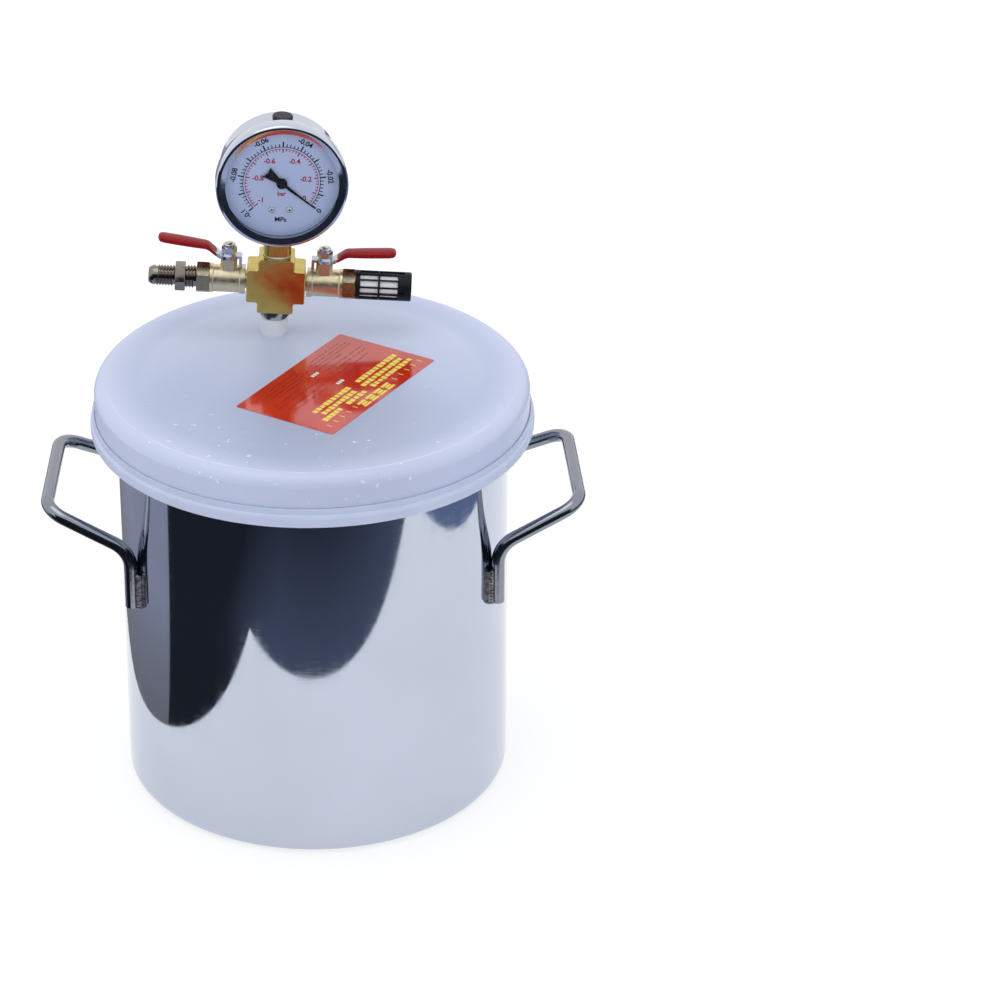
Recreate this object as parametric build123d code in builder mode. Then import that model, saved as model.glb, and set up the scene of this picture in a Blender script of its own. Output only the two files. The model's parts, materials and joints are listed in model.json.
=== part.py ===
from build123d import *
import os
from math import acos, cos, degrees, radians, sin, tan

# Vacuum chamber: a stainless pot with two rod handles, closed by a thick clear lid on a
# rubber ring. The lid carries a brass cross with two ball valves and a vacuum gauge.
# Millimetres, +Z up, the origin on the pot's axis at its flat base. The front is -Y.

os.makedirs("parts", exist_ok=True)

BASE = (Align.CENTER, Align.CENTER, Align.MIN)
TOP = (Align.CENTER, Align.CENTER, Align.MAX)

# ---- Fits ----
push_gap = 0.05  # screwed and pushed-in pieces in their holes, on the radius
turning_gap = 0.05  # turning shafts and balls in their seats, on the radius
passing_gap = 0.3  # faces that pass each other

# ---- Pot ----
pot_radius = 101.0
pot_wall = 1.0
pot_height = 206.0
pot_corner = 6.0

# ---- Handles: one bent rod each ----
rod_radius = 3.5
leg_angle = 28.0  # of each leg from the handle's middle, seen from the pot's axis
leg_drop = 88.0  # leg's lower end below the pot's rim
leg_length = 32.0
grip_drop = 37.2  # grip below the pot's rim
grip_reach = 34.6  # grip out from the pot's wall
grip_half_length = 39.8
right_turn = 4.7  # the right handle's middle is this far round from facing the left one
leg_bend = 14.0
grip_bend = 13.0
weld_length = 19.0
weld_radius = 2.2

# ---- Gasket: a ring with a slot below for the rim and a shallow recess above for the lid ----
gasket_grip = 6.4  # how far its legs reach down over the rim
gasket_seat = 1.0  # its thickness between the rim and the lid
gasket_inner_leg = 2.0
gasket_lip = 3.0  # height of the lip round the lid
gasket_lip_wall = 0.9
gasket_bead = 2.4  # how far its outer bead stands out past the lid
gasket_bead_round = 2.2

# ---- Lid ----
lid_overhang = 11.0  # past the pot's wall
lid_thickness = 20.0
lid_round = 6.0  # rounding of the upper edge
lid_edge = 0.8  # chamfer of the lower edge
lid_port_radius = 4.0
label_length = 97.2
label_width = 58.3
label_thickness = 0.2
label_corner = 1.0
label_x, label_y = 12.7, -9.2
label_turn = 59.3

# ---- Mast: what stands on the lid, a little out of plumb and off centre ----
mast_x, mast_y = -22.3, 50.3
mast_lean = 3.3
mast_turn = 1.4
thread_radius = 4.85  # of the small screwed joints at the cross
thread_length = 7.8
passage_radius = 2.5
boss_radius = 7.2
boss_height = 9.4
nipple_flats = 13.0
nipple_hex = 5.0
cross_reach = 15.2  # from the cross's centre to each port face
cross_arm = 18.6
cross_depth = 17.6
cross_corner = 1.2
cross_edge = 0.4
cross_passage = 3.0
seal_radius = 7.2
seal_thickness = 1.2

# ---- Ball valves, with stations measured out from the cross's port face ----
valve_gap = 0.8
collar_radius = 7.8
collar_width = 2.6
barrel_radius = 7.2
rim_radius = 7.7
rim_width = 1.4
ball_station = 9.6
ball_radius = 5.0
body_length = 18.4  # from the port gap to the end of the valve's body
cap_flats = 15.0
cap_hex = 6.9
cap_thread = 6.0  # radius of the wider outer thread
cap_port_depth = 6.0
seat_depth = 2.6
seat_room = 0.8  # between the ball and the far face of each seat ring
neck_width = 8.5
neck_corner_radius = 5.0
neck_top = 12.2
stem_radius = 2.2
stem_flat = 1.5  # half the width across the stem's flats
tang_width = 1.9
tang_depth = 1.2
shoulder_radius = 2.9
shoulder_height = 1.2
packing_radius = 3.4
packing_height = 2.4

# ---- Valve levers ----
lever_plate = 1.5
lever_half_width = 3.5
lever_eye = 5.0
lever_rise = {"left": 5.3, "right": 4.3}
lever_slope_end = 11.2
lever_length = 35.6
lever_tip_rise = {"left": 3.2, "right": 1.4}  # along the straight outer stretch
tab_inner = 5.3
tab_drop = 4.0
tab_half_width = 2.8
grip_start = 6.4
grip_wall = 0.65
nut_flats = 7.0
nut_flange_radius = 4.3
nut_flange = 1.1
nut_hex = 3.6
nut_collar = 1.4
stem_above_nut = 0.9

# ---- Hose nipple on the left valve ----
nipple_run = 5.8  # thread showing between the valve and the hexagon
hose_hex_flats = 13.5
hose_hex = 5.3
hose_thread_radius = 5.5
hose_thread_length = 9.5
cone_length = 4.3
cone_tip_radius = 3.5
hose_bore = 2.4

# ---- Muffler on the right valve ----
muffler_radius = 7.65
muffler_wall = 1.3
muffler_neck = 2.4
window_length = 9.3
window_rib = 1.0
window_count = 12
window_angle = 22.5
muffler_end = 7.2
muffler_slot_width = 2.4
muffler_slot_depth = 1.2
element_wall = 2.2

# ---- Gauge, with depths measured forward from the mast's axis ----
socket_square = 12.9  # height of the socket's square below the case
gauge_twist = 4.8  # of the gauge about the mast, as far as its thread was screwed in
socket_flats = 13.7
socket_corner_radius = 8.4
case_radius = 31.0
case_wall = 0.8
case_back = 11.0
case_front = 9.0
bezel_step = 3.0  # from the case's side out to the bezel's
bezel_wall = 0.9
bezel_front = 16.6
bezel_lip = 4.9
dial_thickness = 0.5
dial_hole = 1.5
dial_room = 0.6  # between the dial and the case's flange face
window_thickness = 2.0
spacer_wall = 3.0
screw_x, screw_y = 4.6, -15.1
screw_head = 1.6
screw_shank = 0.9
post_radius = 1.8
plug_radius = 5.3
plug_neck = 4.0
plug_height = 1.6
plug_depth_place = -1.5

# ---- Gauge movement ----
tooth_module = 0.3
pinion_teeth = 12
sector_ratio = 9
pressure_angle = 20.0
backlash = 0.05
sector_teeth = 13
sector_lead = 5.0  # angle of the toothed rim ahead of the mesh at rest
pinion_staff = 0.6
sector_staff = 0.8
plate_thickness = 1.0
plate_half_width = 8.5
plate_top = 5.0
back_plate = -3.0
front_plate = 5.5
pillar_radius = 1.1
pillar_x, pillar_y = 7.0, 2.6
block_half_width = 5.0
block_top = -21.5
tube_ring = 25.0
tube_thickness = 2.4
tube_width = 6.6
tube_wall = 0.4
tube_root_angle = -84.0
tube_end_angle = 205.0
tail_length = 6.5
pointer_length = 22.5
pointer_tail = 10.2
pointer_tail_half = 3.1
pointer_hub = 2.8
pointer_thickness = 0.4
pointer_rest = -38.0  # on the dial, at the scale's zero

# ---- Levels and planes worked out from the sizes above ----
lid_bottom = pot_height + gasket_seat
lid_radius = pot_radius + lid_overhang
lid_top = lid_bottom + lid_thickness
cross_level = boss_height + nipple_hex + cross_reach
cross_top = cross_level + cross_reach
square_bottom = cross_top + seal_thickness
square_top = square_bottom + socket_square
gauge_height = square_top + passing_gap / 3 + case_radius
bezel_radius = case_radius + bezel_step

MAST = Plane(Location((mast_x, mast_y, lid_top), (0, mast_lean, mast_turn)))
SIDES = {"left": -1, "right": 1}
HANDLE_MIDDLES = {"left": 180.0, "right": right_turn}


def facing(height, twist=0):
    """Plane at a height on the mast that faces the front: X to the right, Y up the mast."""
    across = MAST.x_dir.rotate(Axis((0, 0, 0), MAST.z_dir), twist)
    return Plane(origin=MAST.offset(height).origin, x_dir=across, z_dir=across.cross(MAST.z_dir))


def outward(side):
    """Plane at the cross's centre whose normal runs out along one valve, with X up the mast."""
    return Plane(origin=MAST.offset(cross_level).origin, x_dir=MAST.z_dir, z_dir=MAST.x_dir * side)


def stem_plane(side):
    """Plane at a valve's ball whose normal runs up the stem, with X out along the valve."""
    place = outward(side).offset(cross_reach + ball_station)
    return Plane(origin=place.origin, x_dir=place.z_dir, z_dir=place.x_dir)


def meridian(plane):
    """Plane through another's normal: X is the radius, and Y runs along the normal."""
    return Plane(origin=plane.origin, x_dir=plane.x_dir, z_dir=plane.x_dir.cross(plane.z_dir))


def spindle(plane):
    """Axis along a plane's normal, through its origin."""
    return Axis(plane.origin, plane.z_dir)


def polar(radius, angle):
    """Point at a radius and an angle in degrees."""
    return (radius * cos(radians(angle)), radius * sin(radians(angle)))


def turned_hexagon(plane, across_flats, height):
    """Hexagonal prism that stands on a plane, its corners turned down at both ends."""
    flat = across_flats / 2
    corner = flat / cos(radians(30))
    slope = (corner - flat) * tan(radians(30))
    with BuildPart() as prism:
        with BuildSketch(plane):
            RegularPolygon(flat, 6, major_radius=False)
        extrude(amount=height)
        with BuildSketch(meridian(plane)):
            with BuildLine():
                Polyline(
                    (0, 0), (flat, 0), (corner, slope), (corner, height - slope),
                    (flat, height), (0, height), close=True,
                )
            make_face()
        revolve(axis=spindle(plane), mode=Mode.INTERSECT)
    return prism.part


# ======== Pot, handles and gasket ========

with BuildPart() as pot:
    Cylinder(pot_radius, pot_height, align=BASE)
    fillet(pot.edges().group_by(Axis.Z)[0], pot_corner)
    offset(amount=-pot_wall, openings=pot.faces().sort_by(Axis.Z)[-1])
    fillet(pot.edges().group_by(Axis.Z)[-1], pot_wall * 0.4)

pot.part.label = "pot"
export_step(pot.part, "parts/pot.step")

leg_radius = pot_radius + rod_radius + push_gap
leg_foot = pot_height - leg_drop
grip_level = pot_height - grip_drop


def handle_route(middle):
    """Corners of one handle's rod, from the foot of one leg to the foot of the other."""
    leg_out, leg_side = polar(leg_radius, leg_angle)
    half = [
        (leg_out, leg_side, leg_foot),
        (leg_out, leg_side, leg_foot + leg_length),
        (pot_radius + grip_reach, grip_half_length, grip_level),
    ]
    corners = [(out, -side, z) for out, side, z in half] + half[::-1]
    return [Vector(*corner).rotate(Axis.Z, middle) for corner in corners]


for name, middle in HANDLE_MIDDLES.items():
    with BuildPart() as handle:
        with BuildLine() as route:
            FilletPolyline(*handle_route(middle), radius=[leg_bend, grip_bend, grip_bend, leg_bend])
        with BuildSketch(Plane(origin=handle_route(middle)[0], z_dir=(0, 0, 1))):
            Circle(rod_radius)
        sweep(path=route.line)
    handle.part.label = f"{name}_handle"
    export_step(handle.part, f"parts/{name}_handle.step")

leg_angles = [middle + end * leg_angle for middle in HANDLE_MIDDLES.values() for end in (-1, 1)]
weld_swing = degrees((rod_radius - 0.4) / pot_radius)

with BuildPart() as handle_welds:
    with BuildSketch(Plane.XY.offset(leg_foot)):
        with Locations(*[polar(pot_radius + 0.8, a + s * weld_swing) for a in leg_angles for s in (-1, 1)]):
            Circle(weld_radius)
        Circle(pot_radius, mode=Mode.SUBTRACT)
        with Locations(*[polar(leg_radius, a) for a in leg_angles]):
            Circle(rod_radius, mode=Mode.SUBTRACT)
    extrude(amount=weld_length)

handle_welds.part.label = "handle_welds"
export_step(handle_welds.part, "parts/handle_welds.step")

slot_inner = pot_radius - pot_wall - push_gap
slot_outer = pot_radius + push_gap
gasket_inner = slot_inner - gasket_inner_leg
gasket_bottom = pot_height - gasket_grip
lip_inner = lid_radius + passing_gap
lip_outer = lip_inner + gasket_lip_wall
bead_outer = lid_radius + gasket_bead

with BuildPart() as gasket:
    with BuildSketch(Plane.XZ) as gasket_section:
        with BuildLine():
            Polyline(
                (gasket_inner, gasket_bottom), (slot_inner, gasket_bottom), (slot_inner, pot_height),
                (slot_outer, pot_height), (slot_outer, gasket_bottom), (bead_outer, gasket_bottom),
                (bead_outer, pot_height), (lip_outer, pot_height + gasket_lip_wall),
                (lip_outer, lid_bottom + gasket_lip), (lip_inner, lid_bottom + gasket_lip),
                (lip_inner, lid_bottom), (gasket_inner, lid_bottom), close=True,
            )
        make_face()
        fillet(gasket_section.vertices().group_by(Axis.X)[-1], gasket_bead_round)
    revolve(axis=Axis.Z)

gasket.part.label = "gasket"
export_step(gasket.part, "parts/gasket.step")

# ======== Lid ========

with BuildPart() as lid_disc:
    with BuildSketch(Plane.XZ):
        with BuildLine():
            Polyline(
                (lid_radius - lid_round, lid_top), (0, lid_top), (0, lid_bottom),
                (lid_radius - lid_edge, lid_bottom), (lid_radius, lid_bottom + lid_edge),
                (lid_radius, lid_top - lid_round),
            )
            RadiusArc(
                (lid_radius, lid_top - lid_round), (lid_radius - lid_round, lid_top), -1.2 * lid_round
            )
        make_face()
    revolve(axis=Axis.Z)
    with Locations((mast_x, mast_y, lid_bottom)):
        Cylinder(lid_port_radius, lid_thickness, align=BASE, mode=Mode.SUBTRACT)

lid_disc.part.label = "lid_disc"
export_step(lid_disc.part, "parts/lid_disc.step")

with BuildPart() as lid_label:
    with BuildSketch(Plane(Location((label_x, label_y, lid_top), (0, 0, label_turn)))):
        RectangleRounded(label_length, label_width, label_corner)
    extrude(amount=label_thickness)

lid_label.part.label = "lid_label"
export_step(lid_label.part, "parts/lid_label.step")

with BuildPart(MAST.offset(boss_height)) as lid_boss:
    Cylinder(boss_radius, 2 * boss_height, align=TOP)
    fillet(lid_boss.edges().group_by(Axis.Z)[-1], 0.8)
    Cylinder(thread_radius + push_gap, 2 * boss_height, align=TOP, mode=Mode.SUBTRACT)
    split(bisect_by=Plane.XY.offset(lid_top), keep=Keep.TOP)

lid_boss.part.label = "lid_boss"
export_step(lid_boss.part, "parts/lid_boss.step")

with BuildPart() as hex_nipple:
    add(turned_hexagon(MAST.offset(boss_height), nipple_flats, nipple_hex))
    with Locations(MAST.offset(boss_height)):
        Cylinder(thread_radius, thread_length, align=TOP)
        Cylinder(thread_radius, nipple_hex + thread_length, align=BASE)
        Cylinder(passage_radius, 4 * thread_length, mode=Mode.SUBTRACT)

hex_nipple.part.label = "hex_nipple"
export_step(hex_nipple.part, "parts/hex_nipple.step")

# ======== Cross and gauge connection ========

CROSS = facing(cross_level)

with BuildPart() as cross_manifold:
    with BuildSketch(CROSS.offset(-cross_depth / 2)) as cross_outline:
        Rectangle(2 * cross_reach, cross_arm)
        Rectangle(cross_arm, 2 * cross_reach)
        fillet(cross_outline.vertices(), cross_corner)
    extrude(amount=cross_depth)
    rims = cross_manifold.edges().group_by(spindle(CROSS))
    chamfer(rims[0] + rims[-1], cross_edge)
    for toward in (CROSS.x_dir, -CROSS.x_dir, CROSS.y_dir, -CROSS.y_dir):
        with BuildSketch(Plane(origin=CROSS.origin + toward * cross_reach, z_dir=toward)):
            Circle(thread_radius + push_gap)
        extrude(amount=-thread_length - push_gap, mode=Mode.SUBTRACT)
        with BuildSketch(Plane(origin=CROSS.origin, z_dir=toward)):
            Circle(cross_passage)
        extrude(amount=cross_reach, mode=Mode.SUBTRACT)

cross_manifold.part.label = "cross_manifold"
export_step(cross_manifold.part, "parts/cross_manifold.step")

with BuildPart(MAST.offset(cross_top)) as gauge_seal:
    Cylinder(seal_radius, seal_thickness, align=BASE)
    fillet(gauge_seal.edges().filter_by(GeomType.CIRCLE), seal_thickness * 0.4)
    Cylinder(thread_radius + push_gap, seal_thickness, align=BASE, mode=Mode.SUBTRACT)

gauge_seal.part.label = "gauge_seal"
export_step(gauge_seal.part, "parts/gauge_seal.step")

GAUGE = facing(gauge_height, gauge_twist)
GAUGE_LINE = spindle(GAUGE)
SOCKET = Plane(origin=MAST.origin, x_dir=GAUGE.x_dir, z_dir=MAST.z_dir)
case_inner = case_radius - case_wall
block_bottom = -(case_inner**2 - block_half_width**2) ** 0.5 + passing_gap
block_back = back_plate + plate_thickness
tube_middle = (block_back + front_plate) / 2
neck_radius = thread_radius - 0.4
TUBE_ROOT = Plane(
    origin=GAUGE.origin - GAUGE.y_dir * tube_ring, x_dir=GAUGE.z_dir, z_dir=GAUGE.x_dir
)

with BuildPart(SOCKET) as gauge_socket:
    with BuildSketch(SOCKET.offset(square_bottom)):
        Rectangle(socket_flats, socket_flats)
        Circle(socket_corner_radius, mode=Mode.INTERSECT)
    extrude(amount=square_top - square_bottom)
    chamfer(gauge_socket.edges().filter_by(GeomType.CIRCLE), 0.7)
    with Locations((0, 0, cross_top - thread_length + seal_thickness)):
        Cylinder(thread_radius, thread_length, align=BASE)
    with Locations((0, 0, square_bottom)):
        Cylinder(neck_radius, gauge_height + block_bottom - square_bottom, align=BASE)
    with BuildSketch(GAUGE.offset(block_back)):
        with Locations((0, block_bottom)):
            Rectangle(2 * block_half_width, block_top - block_bottom, align=(Align.CENTER, Align.MIN))
    extrude(amount=front_plate - block_back)
    with BuildSketch(TUBE_ROOT):
        with Locations((tube_middle, 0)):
            RectangleRounded(
                tube_width + 2 * push_gap, tube_thickness + 2 * push_gap, tube_thickness / 2
            )
    revolve(axis=spindle(GAUGE), revolution_arc=25, mode=Mode.SUBTRACT)
    with Locations((0, 0, cross_top - thread_length)):
        Cylinder(1.5, gauge_height - tube_ring - cross_top + thread_length, align=BASE, mode=Mode.SUBTRACT)

gauge_socket.part.label = "gauge_socket"
export_step(gauge_socket.part, "parts/gauge_socket.step")

# ======== Ball valves ========

stem_top = (
    neck_top + passing_gap + lever_plate + nut_flange + nut_hex + nut_collar + stem_above_nut
)
body_start = cross_reach + valve_gap
body_end = body_start + body_length
ball_place = cross_reach + ball_station
cavity_radius = ball_radius + passing_gap
cavity_start = ball_place - ball_radius - seat_room
cap_start = ball_place + ball_radius + seat_room
cap_end = body_end + cap_hex
cap_port = cap_end - cap_port_depth
lever_bottom = neck_top + passing_gap
nut_bottom = lever_bottom + lever_plate


def stem_section(grow):
    """Face of the stem above its packing: a circle with two flats."""
    with BuildSketch() as section:
        Circle(stem_radius + grow)
        Rectangle(2 * (stem_radius + grow), 2 * (stem_flat + grow), mode=Mode.INTERSECT)
    return section.sketch


for name, side in SIDES.items():
    RUN = outward(side)
    STEM = stem_plane(side)

    with BuildPart() as valve_body:
        with BuildSketch(meridian(RUN)) as body_outline:
            with BuildLine():
                Polyline(
                    (0, cross_reach - thread_length), (thread_radius, cross_reach - thread_length),
                    (thread_radius, body_start), (collar_radius, body_start),
                    (collar_radius, body_start + collar_width),
                    (barrel_radius, body_start + collar_width + 0.6),
                    (barrel_radius, body_end - rim_width - 0.6), (rim_radius, body_end - rim_width),
                    (rim_radius, body_end), (0, body_end), close=True,
                )
            make_face()
        revolve(axis=spindle(RUN))
        with BuildSketch(STEM) as neck_outline:
            Rectangle(neck_width, neck_width)
            Circle(neck_corner_radius, mode=Mode.INTERSECT)
        extrude(amount=neck_top)
        with Locations(RUN.offset(cross_reach - thread_length)):
            Cylinder(passage_radius, body_length, align=BASE, mode=Mode.SUBTRACT)
        with Locations(RUN.offset(cavity_start)):
            Cylinder(cavity_radius, body_length, align=BASE, mode=Mode.SUBTRACT)
        with Locations(STEM):
            Cylinder(stem_radius + turning_gap, neck_top, align=BASE, mode=Mode.SUBTRACT)
            Cylinder(
                shoulder_radius + turning_gap, ball_radius + shoulder_height + turning_gap,
                align=BASE, mode=Mode.SUBTRACT,
            )
        with Locations(STEM.offset(neck_top)):
            Cylinder(packing_radius + push_gap, packing_height, align=TOP, mode=Mode.SUBTRACT)
    valve_body.part.label = f"{name}_valve_body"
    export_step(valve_body.part, f"parts/{name}_valve_body.step")

    with BuildPart() as valve_cap:
        add(turned_hexagon(RUN.offset(body_end), cap_flats, cap_hex))
        with Locations(RUN.offset(cap_start)):
            Cylinder(cavity_radius - push_gap, body_end - cap_start, align=BASE)
            Cylinder(passage_radius, cap_end - cap_start, align=BASE, mode=Mode.SUBTRACT)
        with Locations(RUN.offset(cap_port)):
            Cylinder(cap_thread + push_gap, cap_hex, align=BASE, mode=Mode.SUBTRACT)
    valve_cap.part.label = f"{name}_valve_cap"
    export_step(valve_cap.part, f"parts/{name}_valve_cap.step")

    with BuildPart() as ball_seats:
        with Locations(RUN.offset(cavity_start), RUN.offset(cap_start - seat_depth)):
            Cylinder(cavity_radius - push_gap, seat_depth, align=BASE)
        with Locations(RUN.offset(cavity_start)):
            Cylinder(passage_radius, cap_start - cavity_start, align=BASE, mode=Mode.SUBTRACT)
        with Locations(RUN.offset(ball_place)):
            Sphere(ball_radius + turning_gap, mode=Mode.SUBTRACT)
        with Locations(STEM):
            Cylinder(
                shoulder_radius + passing_gap, 2 * ball_radius, align=BASE, mode=Mode.SUBTRACT
            )
    ball_seats.part.label = f"{name}_ball_seats"
    export_step(ball_seats.part, f"parts/{name}_ball_seats.step")

    with BuildPart(RUN.offset(ball_place)) as ball:
        Sphere(ball_radius)
        Cylinder(passage_radius, 2 * ball_radius, mode=Mode.SUBTRACT)
        with Locations((ball_radius, 0, 0)):
            Box(
                2 * tang_depth + 2 * push_gap, tang_width + 2 * push_gap, 2 * ball_radius,
                mode=Mode.SUBTRACT,
            )
    ball.part.label = f"{name}_ball"
    export_step(ball.part, f"parts/{name}_ball.step")

    with BuildPart() as valve_stem:
        with Locations(STEM.offset(ball_radius - tang_depth)):
            Box(2 * shoulder_radius, tang_width, tang_depth + 0.2, align=BASE)
            Cylinder(shoulder_radius, tang_depth + 0.2, align=BASE, mode=Mode.INTERSECT)
        with Locations(STEM.offset(ball_radius + turning_gap)):
            Cylinder(shoulder_radius, shoulder_height - turning_gap, align=BASE)
            Cylinder(stem_radius, lever_bottom - ball_radius - turning_gap, align=BASE)
        with BuildSketch(STEM.offset(lever_bottom)):
            add(stem_section(0))
        extrude(amount=lever_plate)
        with Locations(STEM.offset(nut_bottom)):
            Cylinder(stem_flat + push_gap, stem_top - nut_bottom, align=BASE)
        chamfer(valve_stem.edges().group_by(spindle(STEM))[-1], 0.4)
    valve_stem.part.label = f"{name}_valve_stem"
    export_step(valve_stem.part, f"parts/{name}_valve_stem.step")

    with BuildPart(STEM.offset(neck_top - packing_height)) as stem_packing:
        Cylinder(packing_radius, packing_height - 0.2, align=BASE)
        Cylinder(stem_radius + turning_gap, packing_height, align=BASE, mode=Mode.SUBTRACT)
    stem_packing.part.label = f"{name}_stem_packing"
    export_step(stem_packing.part, f"parts/{name}_stem_packing.step")

    SIDE_VIEW = Plane(origin=STEM.origin, x_dir=STEM.x_dir, z_dir=-STEM.y_dir)
    lever_high = lever_bottom + lever_rise[name]
    lever_tip = lever_high + lever_tip_rise[name]
    tab_outer = tab_inner + lever_plate

    with BuildPart() as lever:
        with BuildSketch(SIDE_VIEW) as lever_strip:
            with BuildLine():
                Polyline(
                    (-tab_outer, lever_bottom - tab_drop), (-tab_inner, lever_bottom - tab_drop),
                    (-tab_inner, lever_bottom), (lever_eye, lever_bottom),
                    (lever_slope_end, lever_high), (lever_length, lever_tip),
                    (lever_length, lever_tip + lever_plate),
                    (lever_slope_end - 0.5, lever_high + lever_plate),
                    (lever_eye - 0.5, nut_bottom), (-tab_outer, nut_bottom), close=True,
                )
            make_face()
            fillet(lever_strip.vertices().group_by(Axis.X)[0].sort_by(Axis.Y)[-1], 1.0)
        extrude(amount=lever_eye, both=True)
        with BuildSketch(STEM) as lever_plan:
            Circle(lever_eye)
            with Locations((-tab_outer, 0)):
                Rectangle(tab_outer, 2 * tab_half_width, align=(Align.MIN, Align.CENTER))
            with Locations((lever_length / 2, 0)):
                Rectangle(lever_length, 2 * lever_half_width)
            fillet(lever_plan.vertices().group_by(Axis.X)[-1], lever_half_width * 0.6)
        extrude(amount=2 * stem_top, mode=Mode.INTERSECT)
        with BuildSketch(STEM):
            add(stem_section(push_gap))
        extrude(amount=stem_top, mode=Mode.SUBTRACT)
    lever.part.label = f"{name}_lever"
    export_step(lever.part, f"parts/{name}_lever.step")

    grip_half_width = lever_half_width + grip_wall
    with BuildPart() as lever_grip:
        with BuildSketch(SIDE_VIEW) as grip_side:
            with BuildLine():
                Polyline(
                    (grip_start, lever_bottom - grip_wall + 0.4),
                    (lever_slope_end + 0.3, lever_high - grip_wall),
                    (lever_length + 1.1, lever_tip - grip_wall),
                    (lever_length + 1.1, lever_tip + lever_plate + grip_wall),
                    (lever_slope_end - 0.8, lever_high + lever_plate + grip_wall),
                    (grip_start, nut_bottom + grip_wall + 0.6), close=True,
                )
            make_face()
            fillet(grip_side.vertices().group_by(Axis.X)[-1], 1.2)
        extrude(amount=grip_half_width, both=True)
        with BuildSketch(STEM) as grip_plan:
            with Locations((grip_start, 0)):
                Rectangle(
                    lever_length + 1.1 - grip_start, 2 * grip_half_width,
                    align=(Align.MIN, Align.CENTER),
                )
            fillet(grip_plan.vertices().group_by(Axis.X)[-1], lever_half_width * 0.8)
        extrude(amount=2 * stem_top, mode=Mode.INTERSECT)
        add(lever.part, mode=Mode.SUBTRACT)
    lever_grip.part.label = f"{name}_lever_grip"
    export_step(lever_grip.part, f"parts/{name}_lever_grip.step")

    with BuildPart() as lever_nut:
        add(turned_hexagon(STEM.offset(nut_bottom + nut_flange), nut_flats, nut_hex))
        with Locations(STEM.offset(nut_bottom)):
            Cone(nut_flange_radius, nut_flats / 2, nut_flange, align=BASE)
        with Locations(STEM.offset(nut_bottom + nut_flange + nut_hex)):
            Cylinder(nut_flats / 2 - 0.3, nut_collar, align=BASE)
        fillet(lever_nut.edges().group_by(spindle(STEM))[-1], 0.6)
        with Locations(STEM.offset(nut_bottom)):
            Cylinder(stem_flat + 2 * push_gap, stem_top, align=BASE, mode=Mode.SUBTRACT)
    lever_nut.part.label = f"{name}_lever_nut"
    export_step(lever_nut.part, f"parts/{name}_lever_nut.step")

# ======== Hose nipple and muffler ========

HOSE = outward(SIDES["left"]).offset(cap_end)
hose_hex_start = nipple_run
hose_thread_start = hose_hex_start + hose_hex
hose_cone_start = hose_thread_start + hose_thread_length
outer_thread_depth = cap_end - cap_port - push_gap

with BuildPart() as hose_nipple:
    with BuildSketch(meridian(HOSE)):
        with BuildLine():
            Polyline(
                (hose_bore, -outer_thread_depth), (cap_thread, -outer_thread_depth),
                (cap_thread, hose_hex_start + 0.5), (hose_thread_radius - 0.6, hose_hex_start + 0.5),
                (hose_thread_radius - 0.6, hose_thread_start),
                (hose_thread_radius, hose_thread_start), (hose_thread_radius, hose_cone_start),
                (hose_thread_radius - 0.6, hose_cone_start),
                (cone_tip_radius, hose_cone_start + cone_length),
                (hose_bore, hose_cone_start + cone_length), close=True,
            )
        make_face()
    revolve(axis=spindle(HOSE))
    add(turned_hexagon(HOSE.offset(hose_hex_start), hose_hex_flats, hose_hex))
    with Locations(HOSE.offset(hose_hex_start)):
        Cylinder(hose_bore, hose_hex, align=BASE, mode=Mode.SUBTRACT)

hose_nipple.part.label = "hose_nipple"
export_step(hose_nipple.part, "parts/hose_nipple.step")

MUFFLER = outward(SIDES["right"]).offset(cap_end)
muffler_inner = muffler_radius - muffler_wall
first_window = muffler_neck
second_window = first_window + window_length + window_rib
muffler_end_start = second_window + window_length
muffler_length = muffler_end_start + muffler_end
window_width = 2 * muffler_radius * sin(radians(window_angle / 2))

with BuildPart() as muffler_cage:
    with BuildSketch(meridian(MUFFLER)) as cage_outline:
        with BuildLine():
            Polyline(
                (passage_radius, -outer_thread_depth), (cap_thread, -outer_thread_depth),
                (cap_thread, 0), (muffler_radius, 0), (muffler_radius, muffler_length),
                (0, muffler_length), (0, muffler_length - muffler_wall),
                (muffler_inner, muffler_length - muffler_wall), (muffler_inner, muffler_wall),
                (passage_radius, muffler_wall), close=True,
            )
        make_face()
        fillet(cage_outline.vertices().group_by(Axis.X)[-1].sort_by(Axis.Y)[-1], 0.8)
    revolve(axis=spindle(MUFFLER))
    for start in (first_window, second_window):
        with Locations(MUFFLER.offset(start)):
            with PolarLocations(muffler_radius, window_count):
                Box(2.5 * muffler_wall, window_width, window_length, align=BASE, mode=Mode.SUBTRACT)
    with Locations(MUFFLER.offset(muffler_end_start + muffler_end / 2)):
        with PolarLocations(muffler_radius, 4):
            Box(
                2 * muffler_slot_depth, muffler_slot_width, muffler_end / 2,
                align=(Align.CENTER, Align.CENTER, Align.MAX), mode=Mode.SUBTRACT,
            )

muffler_cage.part.label = "muffler_cage"
export_step(muffler_cage.part, "parts/muffler_cage.step")

with BuildPart(MUFFLER.offset(muffler_wall)) as muffler_element:
    Cylinder(muffler_inner - push_gap, muffler_length - 2 * muffler_wall - push_gap, align=BASE)
    Cylinder(
        muffler_inner - element_wall, muffler_length - 3 * muffler_wall, align=BASE,
        mode=Mode.SUBTRACT,
    )

muffler_element.part.label = "muffler_element"
export_step(muffler_element.part, "parts/muffler_element.step")

# ======== Gauge ========

flange_back = case_front - case_wall
skirt_inner = bezel_radius - bezel_wall
flange_radius = skirt_inner - push_gap
curl_inner = case_radius + passing_gap  # edge of the bezel turned in behind the case's flange
window_front = bezel_front - 1.4
window_back = window_front - window_thickness
dial_back = case_front + dial_room
dial_front = dial_back + dial_thickness
dial_radius = case_inner - passing_gap
fill_hole_radius = plug_neck + push_gap

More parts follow.
